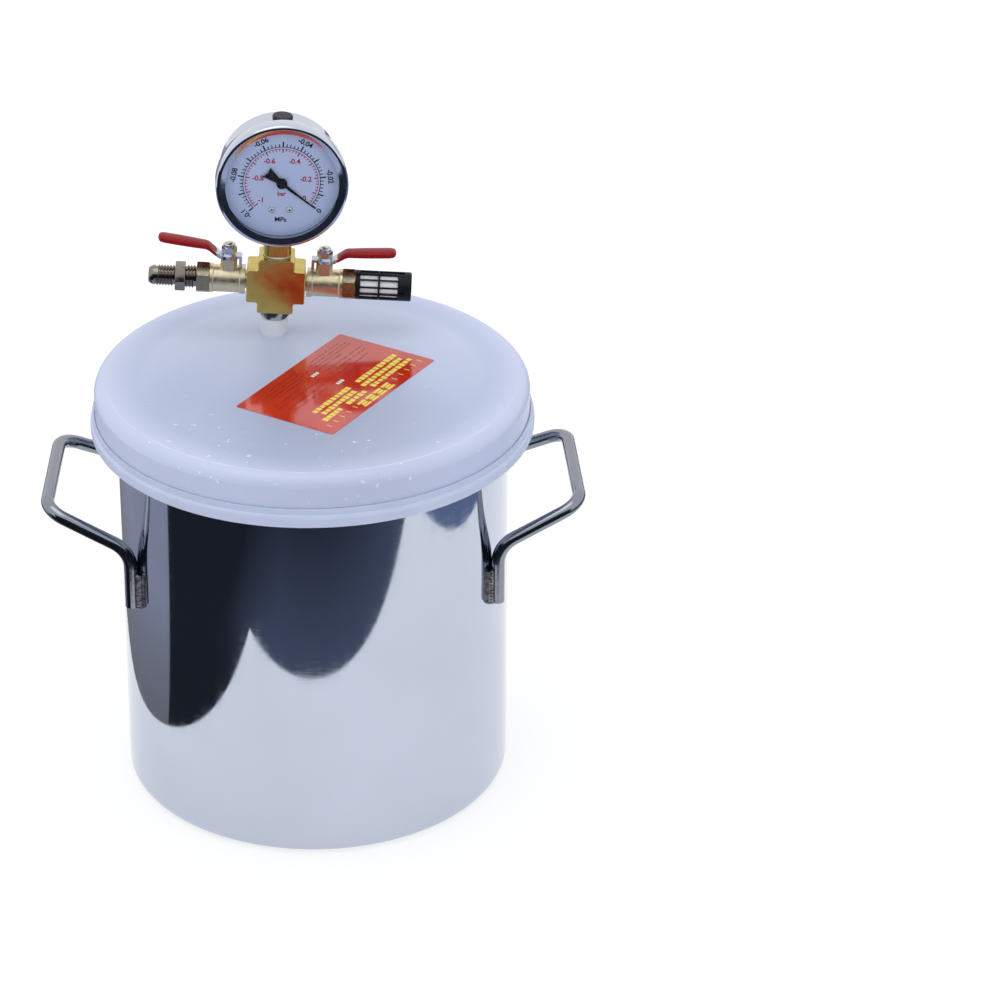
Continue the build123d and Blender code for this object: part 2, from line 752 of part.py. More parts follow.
# The plug sits in the case's filling hole, its flange on the case's crown.
PLUG = Plane(
    origin=GAUGE.from_local_coords(Vector(0, case_radius, plug_depth_place)),
    x_dir=GAUGE.x_dir, z_dir=GAUGE.y_dir,
)

with BuildPart() as gauge_case:
    with BuildSketch(meridian(GAUGE)) as case_section:
        with BuildLine():
            Polyline(
                (0, -case_back), (case_radius, -case_back), (case_radius, flange_back),
                (flange_radius, flange_back), (flange_radius, case_front), (case_inner, case_front),
                (case_inner, case_wall - case_back), (0, case_wall - case_back), close=True,
            )
        make_face()
        corners = case_section.vertices()
        fillet(corners.sort_by_distance((case_radius, -case_back))[0], 2.0)
        fillet(corners.sort_by_distance((case_inner, case_wall - case_back))[0], 2.0 - case_wall)
    revolve(axis=GAUGE_LINE)
    with Locations(MAST.offset(gauge_height - case_radius - case_wall)):
        Cylinder(neck_radius + push_gap, 3 * case_wall, align=BASE, mode=Mode.SUBTRACT)
    with Locations(PLUG):
        Cylinder(fill_hole_radius, 4 * case_wall, mode=Mode.SUBTRACT)

gauge_case.part.label = "gauge_case"
export_step(gauge_case.part, "parts/gauge_case.step")

with BuildPart() as gauge_bezel:
    with BuildSketch(meridian(GAUGE)) as bezel_section:
        with BuildLine():
            Polyline(
                (bezel_radius - bezel_lip, window_front), (bezel_radius - bezel_lip, window_front + 0.8),
                (bezel_radius - 1.6, bezel_front), (bezel_radius, bezel_front - 1.6),
                (bezel_radius, flange_back - bezel_wall), (curl_inner, flange_back - bezel_wall),
                (curl_inner, flange_back), (skirt_inner, flange_back),
                (skirt_inner, window_front), close=True,
            )
        make_face()
        fillet(bezel_section.vertices().sort_by_distance((bezel_radius - 1.6, bezel_front))[0], 1.2)
        fillet(bezel_section.vertices().sort_by_distance((bezel_radius, bezel_front - 1.6))[0], 1.2)
        fillet(
            bezel_section.vertices().sort_by_distance((bezel_radius, flange_back - bezel_wall))[0],
            bezel_wall * 0.6,
        )
    revolve(axis=GAUGE_LINE)

gauge_bezel.part.label = "gauge_bezel"
export_step(gauge_bezel.part, "parts/gauge_bezel.step")

with BuildPart(GAUGE.offset(case_front)) as window_spacer:
    Cylinder(skirt_inner - push_gap, window_back - case_front, align=BASE)
    Cylinder(skirt_inner - spacer_wall, window_back - case_front, align=BASE, mode=Mode.SUBTRACT)

window_spacer.part.label = "window_spacer"
export_step(window_spacer.part, "parts/window_spacer.step")

with BuildPart(GAUGE.offset(window_back)) as gauge_window:
    Cylinder(skirt_inner - push_gap, window_thickness, align=BASE)

gauge_window.part.label = "gauge_window"
export_step(gauge_window.part, "parts/gauge_window.step")

screw_places = ((screw_x, screw_y), (-screw_x, screw_y))

with BuildPart(GAUGE.offset(dial_back)) as gauge_dial:
    Cylinder(dial_radius, dial_thickness, align=BASE)
    Cylinder(dial_hole, dial_thickness, align=BASE, mode=Mode.SUBTRACT)
    with Locations(*screw_places):
        Cylinder(screw_shank + push_gap, dial_thickness, align=BASE, mode=Mode.SUBTRACT)

gauge_dial.part.label = "gauge_dial"
export_step(gauge_dial.part, "parts/gauge_dial.step")

screw_tip = front_plate + 0.2

with BuildPart(GAUGE.offset(dial_front)) as dial_screws:
    with Locations(*screw_places):
        Cylinder(screw_head, 0.8, align=BASE)
    fillet(dial_screws.edges().group_by(GAUGE_LINE)[-1], 0.5)
    with Locations(*screw_places):
        Cylinder(screw_shank, dial_front - screw_tip, align=TOP)

dial_screws.part.label = "dial_screws"
export_step(dial_screws.part, "parts/dial_screws.step")

with BuildPart(PLUG) as fill_plug:
    Cylinder(plug_radius, plug_height, align=BASE)
    fillet(fill_plug.edges().group_by(Axis.Z)[-1], plug_height * 0.5)
    Cylinder(plug_neck, case_wall + 2 * passing_gap, align=TOP)
    with Locations((0, 0, -case_wall - 2 * passing_gap)):
        Cone(plug_neck - 0.6, plug_neck + 0.5, 1.6, align=TOP)

fill_plug.part.label = "fill_plug"
export_step(fill_plug.part, "parts/fill_plug.step")

# ---- Movement: the sector turns on its staff below and drives the pointer's pinion ----
pitch_angle = 360 / (pinion_teeth * sector_ratio)
pinion_pitch = tooth_module * pinion_teeth / 2
sector_pitch = pinion_pitch * sector_ratio
staff_distance = pinion_pitch + sector_pitch
sector_root = sector_pitch - 1.25 * tooth_module
sector_outer = sector_pitch + 0.7 * tooth_module
pinion_root = pinion_pitch - 1.1 * tooth_module
pinion_outer = pinion_pitch + tooth_module
sector_middle = 90 + (sector_teeth / 2 * pitch_angle - sector_lead) - pitch_angle / 2
tail_angle = sector_middle + 90


def tooth(teeth, root, outer):
    """Face of one gear tooth that points along +X, with involute flanks above the base circle."""
    pitch = tooth_module * teeth / 2
    base = pitch * cos(radians(pressure_angle))
    unwound = tan(radians(pressure_angle)) - radians(pressure_angle)
    half_pitch = 90 / teeth - degrees(backlash / 2 / pitch) + degrees(unwound)
    lowest = max(root, base)
    flank = [(root - 0.1, half_pitch)] if root < base else []
    for step in range(5):
        radius = lowest + (outer - lowest) * step / 4
        angle = acos(base / radius)
        flank.append((radius, half_pitch - degrees(tan(angle) - angle)))
    with BuildSketch() as face:
        with BuildLine():
            Polyline(
                *[polar(r, -a) for r, a in flank], *[polar(r, a) for r, a in reversed(flank)],
                close=True,
            )
        make_face()
    return face.sketch


def wedge(radius, middle, half_angle):
    """Triangle from the origin that spans an angle and reaches past a radius."""
    far = radius / cos(radians(half_angle))
    with BuildSketch() as face:
        with BuildLine():
            Polyline((0, 0), polar(far, middle - half_angle), polar(far, middle + half_angle), close=True)
        make_face()
    return face.sketch


with BuildPart() as movement_frame:
    for start in (back_plate, front_plate):
        with BuildSketch(GAUGE.offset(start)) as plate_outline:
            with Locations((0, block_top - 4)):
                Rectangle(
                    2 * plate_half_width, plate_top - block_top + 4, align=(Align.CENTER, Align.MIN)
                )
            fillet(plate_outline.vertices(), 2.0)
            Circle(pinion_staff + turning_gap, mode=Mode.SUBTRACT)
            with Locations((0, -staff_distance)):
                Circle(sector_staff + turning_gap, mode=Mode.SUBTRACT)
        extrude(amount=plate_thickness)
    with BuildSketch(GAUGE.offset(back_plate + plate_thickness)):
        with Locations((pillar_x, pillar_y), (-pillar_x, pillar_y)):
            Circle(pillar_radius)
    extrude(amount=front_plate - back_plate - plate_thickness)
    with BuildSketch(GAUGE.offset(front_plate + plate_thickness)):
        with Locations(*screw_places):
            Circle(post_radius)
    extrude(amount=dial_back - front_plate - plate_thickness)
    with BuildSketch(GAUGE.offset(front_plate)):
        with Locations(*screw_places):
            Circle(screw_shank + push_gap)
    extrude(amount=dial_back - front_plate, mode=Mode.SUBTRACT)

movement_frame.part.label = "movement_frame"
export_step(movement_frame.part, "parts/movement_frame.step")

SECTOR = Plane(
    origin=GAUGE.from_local_coords(Vector(0, -staff_distance, 0)), x_dir=GAUGE.x_dir, z_dir=GAUGE.z_dir
)
sector_back = 1.5
sector_thickness = 1.0
sector_half_angle = sector_teeth * pitch_angle / 2

with BuildPart() as sector_gear:
    with BuildSketch(SECTOR.offset(sector_back)):
        Circle(sector_root)
        add(wedge(2 * sector_root, sector_middle, sector_half_angle), mode=Mode.INTERSECT)
        with PolarLocations(0, sector_teeth, 90 - sector_lead, sector_teeth * pitch_angle):
            add(tooth(pinion_teeth * sector_ratio, sector_root, sector_outer))
        with BuildSketch(mode=Mode.SUBTRACT):
            Circle(sector_root - 2.6)
            add(wedge(2 * sector_root, sector_middle, sector_half_angle - 7), mode=Mode.INTERSECT)
            Circle(6.0, mode=Mode.SUBTRACT)
        Circle(2.6)
        with Locations(Location((0, 0), tail_angle)):
            SlotCenterPoint((tail_length / 2, 0), (tail_length, 0), 2.6)
        with Locations(Location(polar(tail_length, tail_angle), tail_angle)):
            SlotOverall(2.4, 1.2, mode=Mode.SUBTRACT)
    extrude(amount=sector_thickness)
    with BuildSketch(SECTOR.offset(sector_back - 1)):
        Circle(1.8)
    extrude(amount=sector_thickness + 2)
    with BuildSketch(SECTOR.offset(back_plate + 0.2)):
        Circle(sector_staff)
    extrude(amount=front_plate - back_plate + plate_thickness - 0.4)

sector_gear.part.label = "sector_gear"
export_step(sector_gear.part, "parts/sector_gear.step")

pointer_back = dial_front + 1.0

with BuildPart() as pinion_shaft:
    with BuildSketch(GAUGE.offset(sector_back - 0.6)):
        Circle(pinion_root)
        with PolarLocations(0, pinion_teeth, start_angle=-90):
            add(tooth(pinion_teeth, pinion_root, pinion_outer))
    extrude(amount=sector_thickness + 1.2)
    with BuildSketch(GAUGE.offset(back_plate + 0.2)):
        Circle(pinion_staff)
    extrude(amount=pointer_back + 1.4 - back_plate - 0.2)

pinion_shaft.part.label = "pinion_shaft"
export_step(pinion_shaft.part, "parts/pinion_shaft.step")

with BuildSketch() as needle:
    with BuildLine():
        Polyline(
            (-pointer_tail, -pointer_tail_half), (-pointer_tail + 1.0, 0), (-pointer_tail, pointer_tail_half),
            (0, 0.9), (pointer_length, 0.15), (pointer_length, -0.15), (0, -0.9), close=True,
        )
    make_face()

with BuildPart() as pointer:
    with BuildSketch(GAUGE.offset(pointer_back)):
        add(needle.sketch, rotation=pointer_rest)
        Circle(pointer_hub)
    extrude(amount=pointer_thickness)
    with BuildSketch(GAUGE.offset(pointer_back - 0.5)):
        Circle(1.3)
    extrude(amount=2.2)
    with BuildSketch(GAUGE.offset(pointer_back - 0.5)):
        Circle(pinion_staff + 0.02)
    extrude(amount=2.2, mode=Mode.SUBTRACT)

pointer.part.label = "pointer"
export_step(pointer.part, "parts/pointer.step")

# ---- Tube: a flattened C that starts in the socket's block and ends at the link ----
tube_arc = tube_end_angle - tube_root_angle


def tube_section(angle, grow):
    """Rounded oblong of the tube, at an angle round the gauge's axis."""
    radial = GAUGE.x_dir * cos(radians(angle)) + GAUGE.y_dir * sin(radians(angle))
    place = Plane(
        origin=GAUGE.origin + radial * tube_ring, x_dir=GAUGE.z_dir, z_dir=GAUGE.z_dir.cross(radial)
    )
    with BuildSketch(place) as section:
        with Locations((tube_middle, 0)):
            RectangleRounded(
                tube_width + 2 * grow, tube_thickness + 2 * grow, (tube_thickness + 2 * grow) * 0.49
            )
    return section.sketch


with BuildPart() as bourdon_tube:
    revolve(tube_section(tube_root_angle, 0), axis=GAUGE_LINE, revolution_arc=tube_arc)
    revolve(
        tube_section(tube_root_angle, -tube_wall), axis=GAUGE_LINE, revolution_arc=tube_arc,
        mode=Mode.SUBTRACT,
    )

bourdon_tube.part.label = "bourdon_tube"
export_step(bourdon_tube.part, "parts/bourdon_tube.step")

tip_pin = polar(tube_ring - 3.5, tube_end_angle + 3)
tip_ear_front = sector_back + sector_thickness + 0.6
tail_eye_x, tail_eye_y = polar(tail_length, tail_angle)

with BuildPart() as tube_tip:
    revolve(tube_section(tube_end_angle, 0), axis=GAUGE_LINE, revolution_arc=6)
    with BuildSketch(GAUGE.offset(tip_ear_front - 2.2)):
        with Locations(tip_pin, polar(tube_ring, tube_end_angle + 3)):
            Circle(1.2)
        make_hull()
    extrude(amount=2.2)
    with BuildSketch(GAUGE.offset(tip_ear_front)):
        with Locations(tip_pin):
            Circle(0.6)
    extrude(amount=1.2)

tube_tip.part.label = "tube_tip"
export_step(tube_tip.part, "parts/tube_tip.step")

with BuildPart() as gauge_link:
    with BuildSketch(GAUGE.offset(tip_ear_front)):
        with Locations(tip_pin, (tail_eye_x, tail_eye_y - staff_distance)):
            Circle(1.2)
        make_hull()
        with Locations(tip_pin, (tail_eye_x, tail_eye_y - staff_distance)):
            Circle(0.6 + push_gap, mode=Mode.SUBTRACT)
    extrude(amount=0.8)

gauge_link.part.label = "gauge_link"
export_step(gauge_link.part, "parts/gauge_link.step")
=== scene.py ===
"""Finishes, threads, print, beads and light for a vacuum chamber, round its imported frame.

Everything is in metres in the frame's own axes. Each operator below finishes one group of
pieces, and the panel in the sidebar lists them in the order in which main() calls them.
"""

import json
import random
from math import cos, degrees, pi, radians, sin

import bmesh
import bpy
from bpy.props import FloatProperty, FloatVectorProperty, IntProperty, PointerProperty
from mathutils import Matrix, Vector


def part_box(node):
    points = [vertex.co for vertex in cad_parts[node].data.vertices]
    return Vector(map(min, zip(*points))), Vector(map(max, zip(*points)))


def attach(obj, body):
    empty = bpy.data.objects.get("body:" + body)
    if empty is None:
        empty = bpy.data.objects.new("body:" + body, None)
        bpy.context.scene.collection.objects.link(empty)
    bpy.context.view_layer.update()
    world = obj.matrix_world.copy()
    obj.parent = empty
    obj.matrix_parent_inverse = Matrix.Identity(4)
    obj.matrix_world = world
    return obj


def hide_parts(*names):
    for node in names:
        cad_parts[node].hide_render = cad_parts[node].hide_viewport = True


bl_info = {
    "name": "Vacuum Chamber",
    "version": (1, 0, 0),
    "blender": (4, 5, 0),
    "location": "3D Viewport > Sidebar > Chamber",
    "description": "Finishes a vacuum chamber: steel, acrylic, brass, dial, label and light",
    "category": "Object",
}

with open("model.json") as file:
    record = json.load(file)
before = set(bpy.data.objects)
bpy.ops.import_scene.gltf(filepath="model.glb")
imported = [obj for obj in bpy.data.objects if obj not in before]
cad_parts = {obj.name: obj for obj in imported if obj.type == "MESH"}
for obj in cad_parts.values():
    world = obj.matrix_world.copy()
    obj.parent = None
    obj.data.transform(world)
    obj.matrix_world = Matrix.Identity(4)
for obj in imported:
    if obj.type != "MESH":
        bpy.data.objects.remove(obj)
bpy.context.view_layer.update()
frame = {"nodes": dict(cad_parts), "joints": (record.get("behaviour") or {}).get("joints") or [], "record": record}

MM = 0.001
SHARP = radians(32)  # edges that fold less than this are shaded smooth
SIDES = ("left", "right")
JOINTS = {joint["name"]: joint for joint in frame["joints"]}
MOUNTS = {mount["name"]: mount for mount in frame["record"]["mounts"]}

MAST_UP = Vector(JOINTS["left_lever_turn"]["axis"])
GAUGE_CENTRE = Vector(JOINTS["pointer_turn"]["pos_m"])
GAUGE_OUT = Vector(JOINTS["pointer_turn"]["axis"])
HOSE_CENTRE = Vector(MOUNTS["hose_thread"]["pos_m"])
HOSE_OUT = Vector(MOUNTS["hose_thread"]["axis"])
LID_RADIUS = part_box("lid_disc")[1].x
LID_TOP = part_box("lid_disc")[1].z
LID_ROUND = 6.2 * MM  # from the lid's side in to where its flat top starts

# Levers and their grips, in millimetres: out along the lever from its stem, and up.
LEVER_START, LEVER_BEND, LEVER_TIP = 5.0, 11.2, 35.6
LEVER_START_LEVEL = 13.25
LEVER_LEVELS = {"left": (18.55, 21.75), "right": (17.55, 18.95)}  # at the bend and at the tip
GRIP_SECTIONS = (  # how far out, half width, half thickness
    (6.4, 3.8, 1.2), (7.2, 4.0, 1.5), (9.0, 4.1, 1.6), (10.6, 4.15, 1.65), (12, 4.2, 1.6),
    (14, 4.25, 1.6), (18, 4.35, 1.75), (24, 4.4, 1.85), (30, 4.35, 1.9), (34, 4.2, 1.9),
    (35.7, 3.7, 1.7), (36.5, 2.7, 1.25), (36.9, 1.2, 0.6),
)

# Weld beads: half sizes of one ripple, its lean, and how far it stands out of the bead.
RIPPLE = (1.9 * MM, 1.5 * MM, 1.35 * MM)
RIPPLE_LEAN = radians(-28)
RIPPLE_OUT = 0.5 * MM

# Dial: degrees anticlockwise from its right-hand side, and millimetres from its centre.
SCALE_ZERO, SCALE_FIRST = -38, -18
MAJOR_STEP, MAJORS = 27, 10
MINOR_STEP, MINORS = 5.4, 44
FIRST_MINORS = (-33, -28, -23)
DIGIT_HEIGHT = 3.9
DIGIT_RADIUS = 24.9
DIAL_OUTER = (
    ("0", -38), ("-0.02", 9), ("-0.04", 63), ("-0.06", 117), ("-0.08", 171), ("-0.1", 225),
)
DIAL_INNER = (
    ("0", 11.9, -8.7), ("-0.2", 12.3, 2.1), ("-0.4", 6.1, 11.9), ("-0.6", -6.7, 11.9),
    ("-0.8", -12.2, 2.3), ("-1", -10.2, -9.9),
)
DIAL_UNITS = (("black", "MPa", 3.6, -20.7), ("red", "bar", 3.4, -6.2))  # ink, height and place
SCREW_PLACES = ((-4.6, -15.1), (4.6, -15.1))

# Label: how far down it a row lies and the spans that it fills, as shares of the label.
LABEL_TURN = radians(59.3)
LABEL_ROWS = (
    (0.643, ((0.153, 0.499), (0.566, 0.950))),
    (0.724, ((0.166, 0.479), (0.544, 0.930))),
    (0.800, ((0.106, 0.276), (0.329, 0.510), (0.567, 0.952))),
)
LABEL_LINES = (
    (0.085, ((0.20, 0.49), (0.62, 0.90))),
    (0.130, ((0.17, 0.49), (0.60, 0.93))),
    (0.175, ((0.17, 0.47), (0.58, 0.93))),
    (0.220, ((0.19, 0.44), (0.58, 0.80))),
    (0.290, ((0.10, 0.34), (0.60, 0.95))),
    (0.345, ((0.09, 0.48), (0.57, 0.93))),
    (0.415, ((0.12, 0.46), (0.57, 0.88))),
    (0.475, ((0.14, 0.44), (0.60, 0.76))),
)
HEADING = ((0.352, 0.868, 0.064, 0.030), (0.362, 0.905, 0.046, 0.026), (0.352, 0.938, 0.064, 0.026))
HEADING_STEP = 0.076
DASH_STARTS, DASH_STEP = (0.068, 0.699), 0.062

# White table's edges, the room past them, and what its floor shows to mirrors.
TABLE_LEFT, TABLE_RIGHT, TABLE_FRONT = -0.166, 0.390, -0.277
GREY_FROM = -0.052  # the floor at the left is black in front of here and grey behind
LEFT_WALL = -0.80
ROOM = 3.0
FRONT_WALL, FRONT_WALL_HEIGHT = -2.6, 1.9
HAZE, NAVY, BLACK = (0.085, 0.105, 0.160), (0.022, 0.027, 0.040), (0.018, 0.021, 0.029)
NEAR_GREY, FAR_GREY = (0.20, 0.20, 0.22), (0.33, 0.35, 0.43)
NEAR_BLUE, FAR_BLUE = (0.15, 0.20, 0.34), (0.15, 0.2, 0.3)

# ---------------------------------------------------------------- places and meshes


def placed(origin, out, up):
    """Matrix whose Z runs out from a face and whose Y runs up it."""
    z = Vector(out).normalized()
    x = Vector(up).cross(z).normalized()
    y = z.cross(x)
    turn = Matrix((x, y, z)).transposed().to_4x4()
    return Matrix.Translation(origin) @ turn


def reach(node, origin, axis):
    """Lowest and highest distance of a CAD node from a point, along an axis."""
    distances = [(v.co - origin).dot(axis) for v in frame["nodes"][node].data.vertices]
    return min(distances), max(distances)


def piece(name, bm, body, material, smooth=True):
    """Turns a bmesh into a finished piece that rides on a body."""
    mesh = bpy.data.meshes.new(name)
    bm.normal_update()
    for face in bm.faces:
        face.smooth = smooth
    for edge in bm.edges:
        edge.smooth = edge.calc_face_angle(0) < SHARP
    bm.to_mesh(mesh)
    bm.free()
    mesh.materials.append(material)
    made = bpy.data.objects.new(name, mesh)
    bpy.context.collection.objects.link(made)
    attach(made, body)
    return made


def stage_piece(name, bm, material):
    """Turns a bmesh into a piece of the stage, which isn't part of the object."""
    mesh = bpy.data.meshes.new(name)
    bm.to_mesh(mesh)
    bm.free()
    mesh.materials.append(material)
    made = bpy.data.objects.new(name, mesh)
    bpy.context.collection.objects.link(made)
    return made


def add_box(bm, size, place):
    """Adds a box of a given size, centred on a place."""
    bmesh.ops.create_cube(bm, size=1.0, matrix=place @ Matrix.Diagonal((*size, 1.0)))


def lathe(bm, outline, place, steps=96):
    """Turns an outline of (radius, height) points, closed or from pole to pole, about Z."""
    points = [bm.verts.new((radius, 0, height)) for radius, height in outline]
    edges = [bm.edges.new(pair) for pair in zip(points, points[1:])]
    if outline[0][0] > 0:
        edges.append(bm.edges.new((points[-1], points[0])))
    old = set(bm.verts) - set(points)
    bmesh.ops.spin(
        bm, geom=points + edges, cent=(0, 0, 0), axis=(0, 0, 1), dvec=(0, 0, 0), angle=2 * pi,
        steps=steps, use_merge=True, use_duplicate=False,
    )
    made = [vert for vert in bm.verts if vert not in old]
    bmesh.ops.transform(bm, matrix=place, verts=made)
    bmesh.ops.remove_doubles(bm, verts=made, dist=0.001 * MM)
    bmesh.ops.recalc_face_normals(bm, faces=bm.faces)


def add_thread(bm, root, crest, pitch, start, end, place, steps=30):
    """Adds one helical ridge between two heights on a place's Z axis."""
    turns = (end - start) / pitch - 1
    low = start + pitch / 2
    section = ((root, -0.46), (crest, -0.10), (crest, 0.10), (root, 0.46))
    points = [bm.verts.new((radius, 0, low + share * pitch)) for radius, share in section]
    edges = [bm.edges.new((a, b)) for a, b in zip(points, points[1:] + points[:1])]
    old = set(bm.verts) - set(points)
    count = int(turns * steps)
    bmesh.ops.spin(
        bm, geom=points + edges, cent=(0, 0, 0), axis=(0, 0, 1), dvec=(0, 0, pitch / steps),
        angle=2 * pi * count / steps, steps=count, use_merge=False, use_duplicate=False,
    )
    bmesh.ops.holes_fill(bm, edges=[edge for edge in bm.edges if edge.is_boundary], sides=8)
    made = [vert for vert in bm.verts if vert not in old]
    bmesh.ops.transform(bm, matrix=place, verts=made)
    bmesh.ops.recalc_face_normals(bm, faces=bm.faces)


def add_loft(bm, sections, place, points=20):
    """Adds a closed skin over rounded oblongs: (out, up, half width, half thickness)."""
    rings = []
    for out, up, half_width, half_thick in sections:
        ring = []
        for step in range(points):
            angle = 2 * pi * step / points
            across, along = sin(angle), cos(angle)
            across = half_width * abs(across) ** 0.55 * (1 if across > 0 else -1)
            along = half_thick * abs(along) ** 0.8 * (1 if along > 0 else -1)
            ring.append(bm.verts.new(place @ Vector((out, across, up + along))))
        rings.append(ring)
    for first, second in zip(rings, rings[1:]):
        for k in range(points):
            following = (k + 1) % points
            bm.faces.new((first[k], first[following], second[following], second[k]))
    bm.faces.new(rings[0])
    bm.faces.new(rings[-1])
    bmesh.ops.recalc_face_normals(bm, faces=bm.faces)


def islands(bm):
    """Groups of joined vertices."""
    waiting = set(bm.verts)
    groups = []
    while waiting:
        front = [waiting.pop()]
        group = []
        while front:
            vert = front.pop()
            group.append(vert)
            for edge in vert.link_edges:
                other = edge.other_vert(vert)
                if other in waiting:
                    waiting.remove(other)
                    front.append(other)
        groups.append(group)
    return sorted(groups, key=lambda group: (round(group[0].co.x, 3), round(group[0].co.y, 3)))


def add_patch(bm, x0, x1, y0, y1, place):
    """Adds a flat rectangle on a place's plane."""
    corners = ((x0, y0), (x1, y0), (x1, y1), (x0, y1))
    bm.faces.new([bm.verts.new(place @ Vector((x, y, 0))) for x, y in corners])


def add_arc(bm, radius, width, start, end, place, steps=90):
    """Adds a flat arc of a width, between two angles in degrees."""
    rims = []
    for step in range(steps + 1):
        angle = radians(start + (end - start) * step / steps)
        rims.append([
            bm.verts.new(place @ Vector((r * cos(angle), r * sin(angle), 0)))
            for r in (radius - width / 2, radius + width / 2)
        ])
    for first, second in zip(rims, rims[1:]):
        bm.faces.new((first[0], first[1], second[1], second[0]))


def add_text(bm, words, height, place):
    """Adds flat characters, centred on a place and raised a hair above it."""
    curve = bpy.data.curves.new("characters", "FONT")
    curve.body = words
    curve.size = height
    curve.align_x = "CENTER"
    curve.align_y = "CENTER"
    curve.extrude = 0.01 * MM
    curve.offset = 0.025 * height
    holder = bpy.data.objects.new("characters", curve)
    mesh = bpy.data.meshes.new_from_object(holder)
    mesh.transform(place)
    bm.from_mesh(mesh)
    bpy.data.objects.remove(holder)
    bpy.data.curves.remove(curve)
    bpy.data.meshes.remove(mesh)


# ---------------------------------------------------------------- finishes


class Finish:
    """A new material with a Principled shader and the few nodes that its surface needs."""

    def __init__(self, name, colour, roughness, metallic=0.0, **sockets):
        self.material = bpy.data.materials.new(name)
        self.material.use_nodes = True
        self.tree = self.material.node_tree
        self.shader = self.tree.nodes["Principled BSDF"]
        self.shader.inputs["Base Color"].default_value = (*colour, 1.0)
        self.shader.inputs["Roughness"].default_value = roughness
        self.shader.inputs["Metallic"].default_value = metallic
        named = {socket.name.lower().replace(" ", "_"): socket for socket in self.shader.inputs}
        for key, value in sockets.items():
            named[key].default_value = value
        self.last_bump = None

    def node(self, kind, **values):
        """Adds a node and sets its properties."""
        made = self.tree.nodes.new(kind)
        for key, value in values.items():
            setattr(made, key, value)
        return made

    def link(self, start, end):
        """Joins an output socket to an input socket."""
        self.tree.links.new(start, end)

    def place(self, stretch=(1, 1, 1), offset=(0, 0, 0), turn=(0, 0, 0)):
        """Object coordinates in metres, centred, turned and stretched."""
        source = self.node("ShaderNodeTexCoord")
        centred = self.node("ShaderNodeMapping")
        centred.inputs["Location"].default_value = [-value for value in offset]
        self.link(source.outputs["Object"], centred.inputs["Vector"])
        mapping = self.node("ShaderNodeMapping")
        mapping.inputs["Rotation"].default_value = turn
        mapping.inputs["Scale"].default_value = stretch
        self.link(centred.outputs["Vector"], mapping.inputs["Vector"])
        return mapping.outputs["Vector"]

    def noise(self, scale, detail=2.0, **place):
        """Factor of a noise whose grains are about one over the scale across, in metres."""
        made = self.node("ShaderNodeTexNoise")
        made.inputs["Scale"].default_value = scale
        made.inputs["Detail"].default_value = detail
        self.link(self.place(**place), made.inputs["Vector"])
        return made.outputs["Fac"]

    def bands(self, factor, *stops):
        """Colour that runs through (position, colour) stops as a factor rises."""
        made = self.node("ShaderNodeValToRGB")
        ramp = made.color_ramp
        while len(ramp.elements) < len(stops):
            ramp.elements.new(0.5)
        for element, (position, colour) in zip(ramp.elements, stops):
            element.position = position
            element.color = (*colour, 1.0)
        self.link(factor, made.inputs["Fac"])
        return made.outputs["Color"]

    def blend(self, factor, first, second):
        """Mix of two colours, each a socket or three numbers."""
        made = self.node("ShaderNodeMix", data_type="RGBA")
        self.link(factor, made.inputs["Factor"])
        for socket, colour in (("A", first), ("B", second)):
            target = [s for s in made.inputs if s.name == socket and s.type == "RGBA"][0]
            if isinstance(colour, bpy.types.NodeSocket):
                self.link(colour, target)
            else:
                target.default_value = (*colour, 1.0)
        return [s for s in made.outputs if s.type == "RGBA"][0]

    def scaled(self, factor, low, high, start=0.0, end=1.0):
        """A factor mapped from start to end onto low to high."""
        made = self.node("ShaderNodeMapRange")
        made.inputs["From Min"].default_value = start
        made.inputs["From Max"].default_value = end
        made.inputs["To Min"].default_value = low
        made.inputs["To Max"].default_value = high
        self.link(factor, made.inputs["Value"])
        return made.outputs["Result"]

    def maths(self, operation, first, second=0.0):
        """Result of one sum on sockets or numbers."""
        made = self.node("ShaderNodeMath", operation=operation)
        for index, value in enumerate((first, second)):
            if isinstance(value, bpy.types.NodeSocket):
                self.link(value, made.inputs[index])
            else:
                made.inputs[index].default_value = value
        return made.outputs["Value"]

    def along(self, axis):
        """Object coordinate along one axis, in metres."""
        split = self.node("ShaderNodeSeparateXYZ")
        self.link(self.place(), split.inputs["Vector"])
        return split.outputs[axis]

    def radius(self, centre=(0, 0, 0)):
        """Distance from an upright axis, in metres."""
        split = self.node("ShaderNodeSeparateXYZ")
        self.link(self.place(offset=centre), split.inputs["Vector"])
        squares = [self.maths("MULTIPLY", split.outputs[k], split.outputs[k]) for k in "XY"]
        return self.maths("SQRT", self.maths("ADD", *squares))

    def paint(self, colour):
        """Drives the base colour."""
        self.link(colour, self.shader.inputs["Base Color"])

    def polish(self, factor):
        """Drives the roughness."""
        self.link(factor, self.shader.inputs["Roughness"])

    def bump(self, height, distance, strength=1.0):
        """Adds relief of a depth in metres over what is there."""
        made = self.node("ShaderNodeBump")
        made.inputs["Strength"].default_value = strength
        made.inputs["Distance"].default_value = distance
        self.link(height, made.inputs["Height"])
        if self.last_bump is not None:
            self.link(self.last_bump, made.inputs["Normal"])
        self.last_bump = made.outputs["Normal"]
        self.link(self.last_bump, self.shader.inputs["Normal"])

    def wear(self, scale, detail, low, high):
        """Roughness that drifts between two values."""
        self.polish(self.scaled(self.noise(scale, detail), low, high, 0.3, 0.7))

    def grain(self, scale, detail, depth, strength):
        """Fine noise as relief, with its depth in millimetres."""
        self.bump(self.noise(scale, detail), depth * MM, strength)


def dress(material, *nodes):
    """Gives CAD nodes a material."""
    for name in nodes:
        mesh = frame["nodes"][name].data
        mesh.materials.clear()
        mesh.materials.append(material)


# ---------------------------------------------------------------- settings


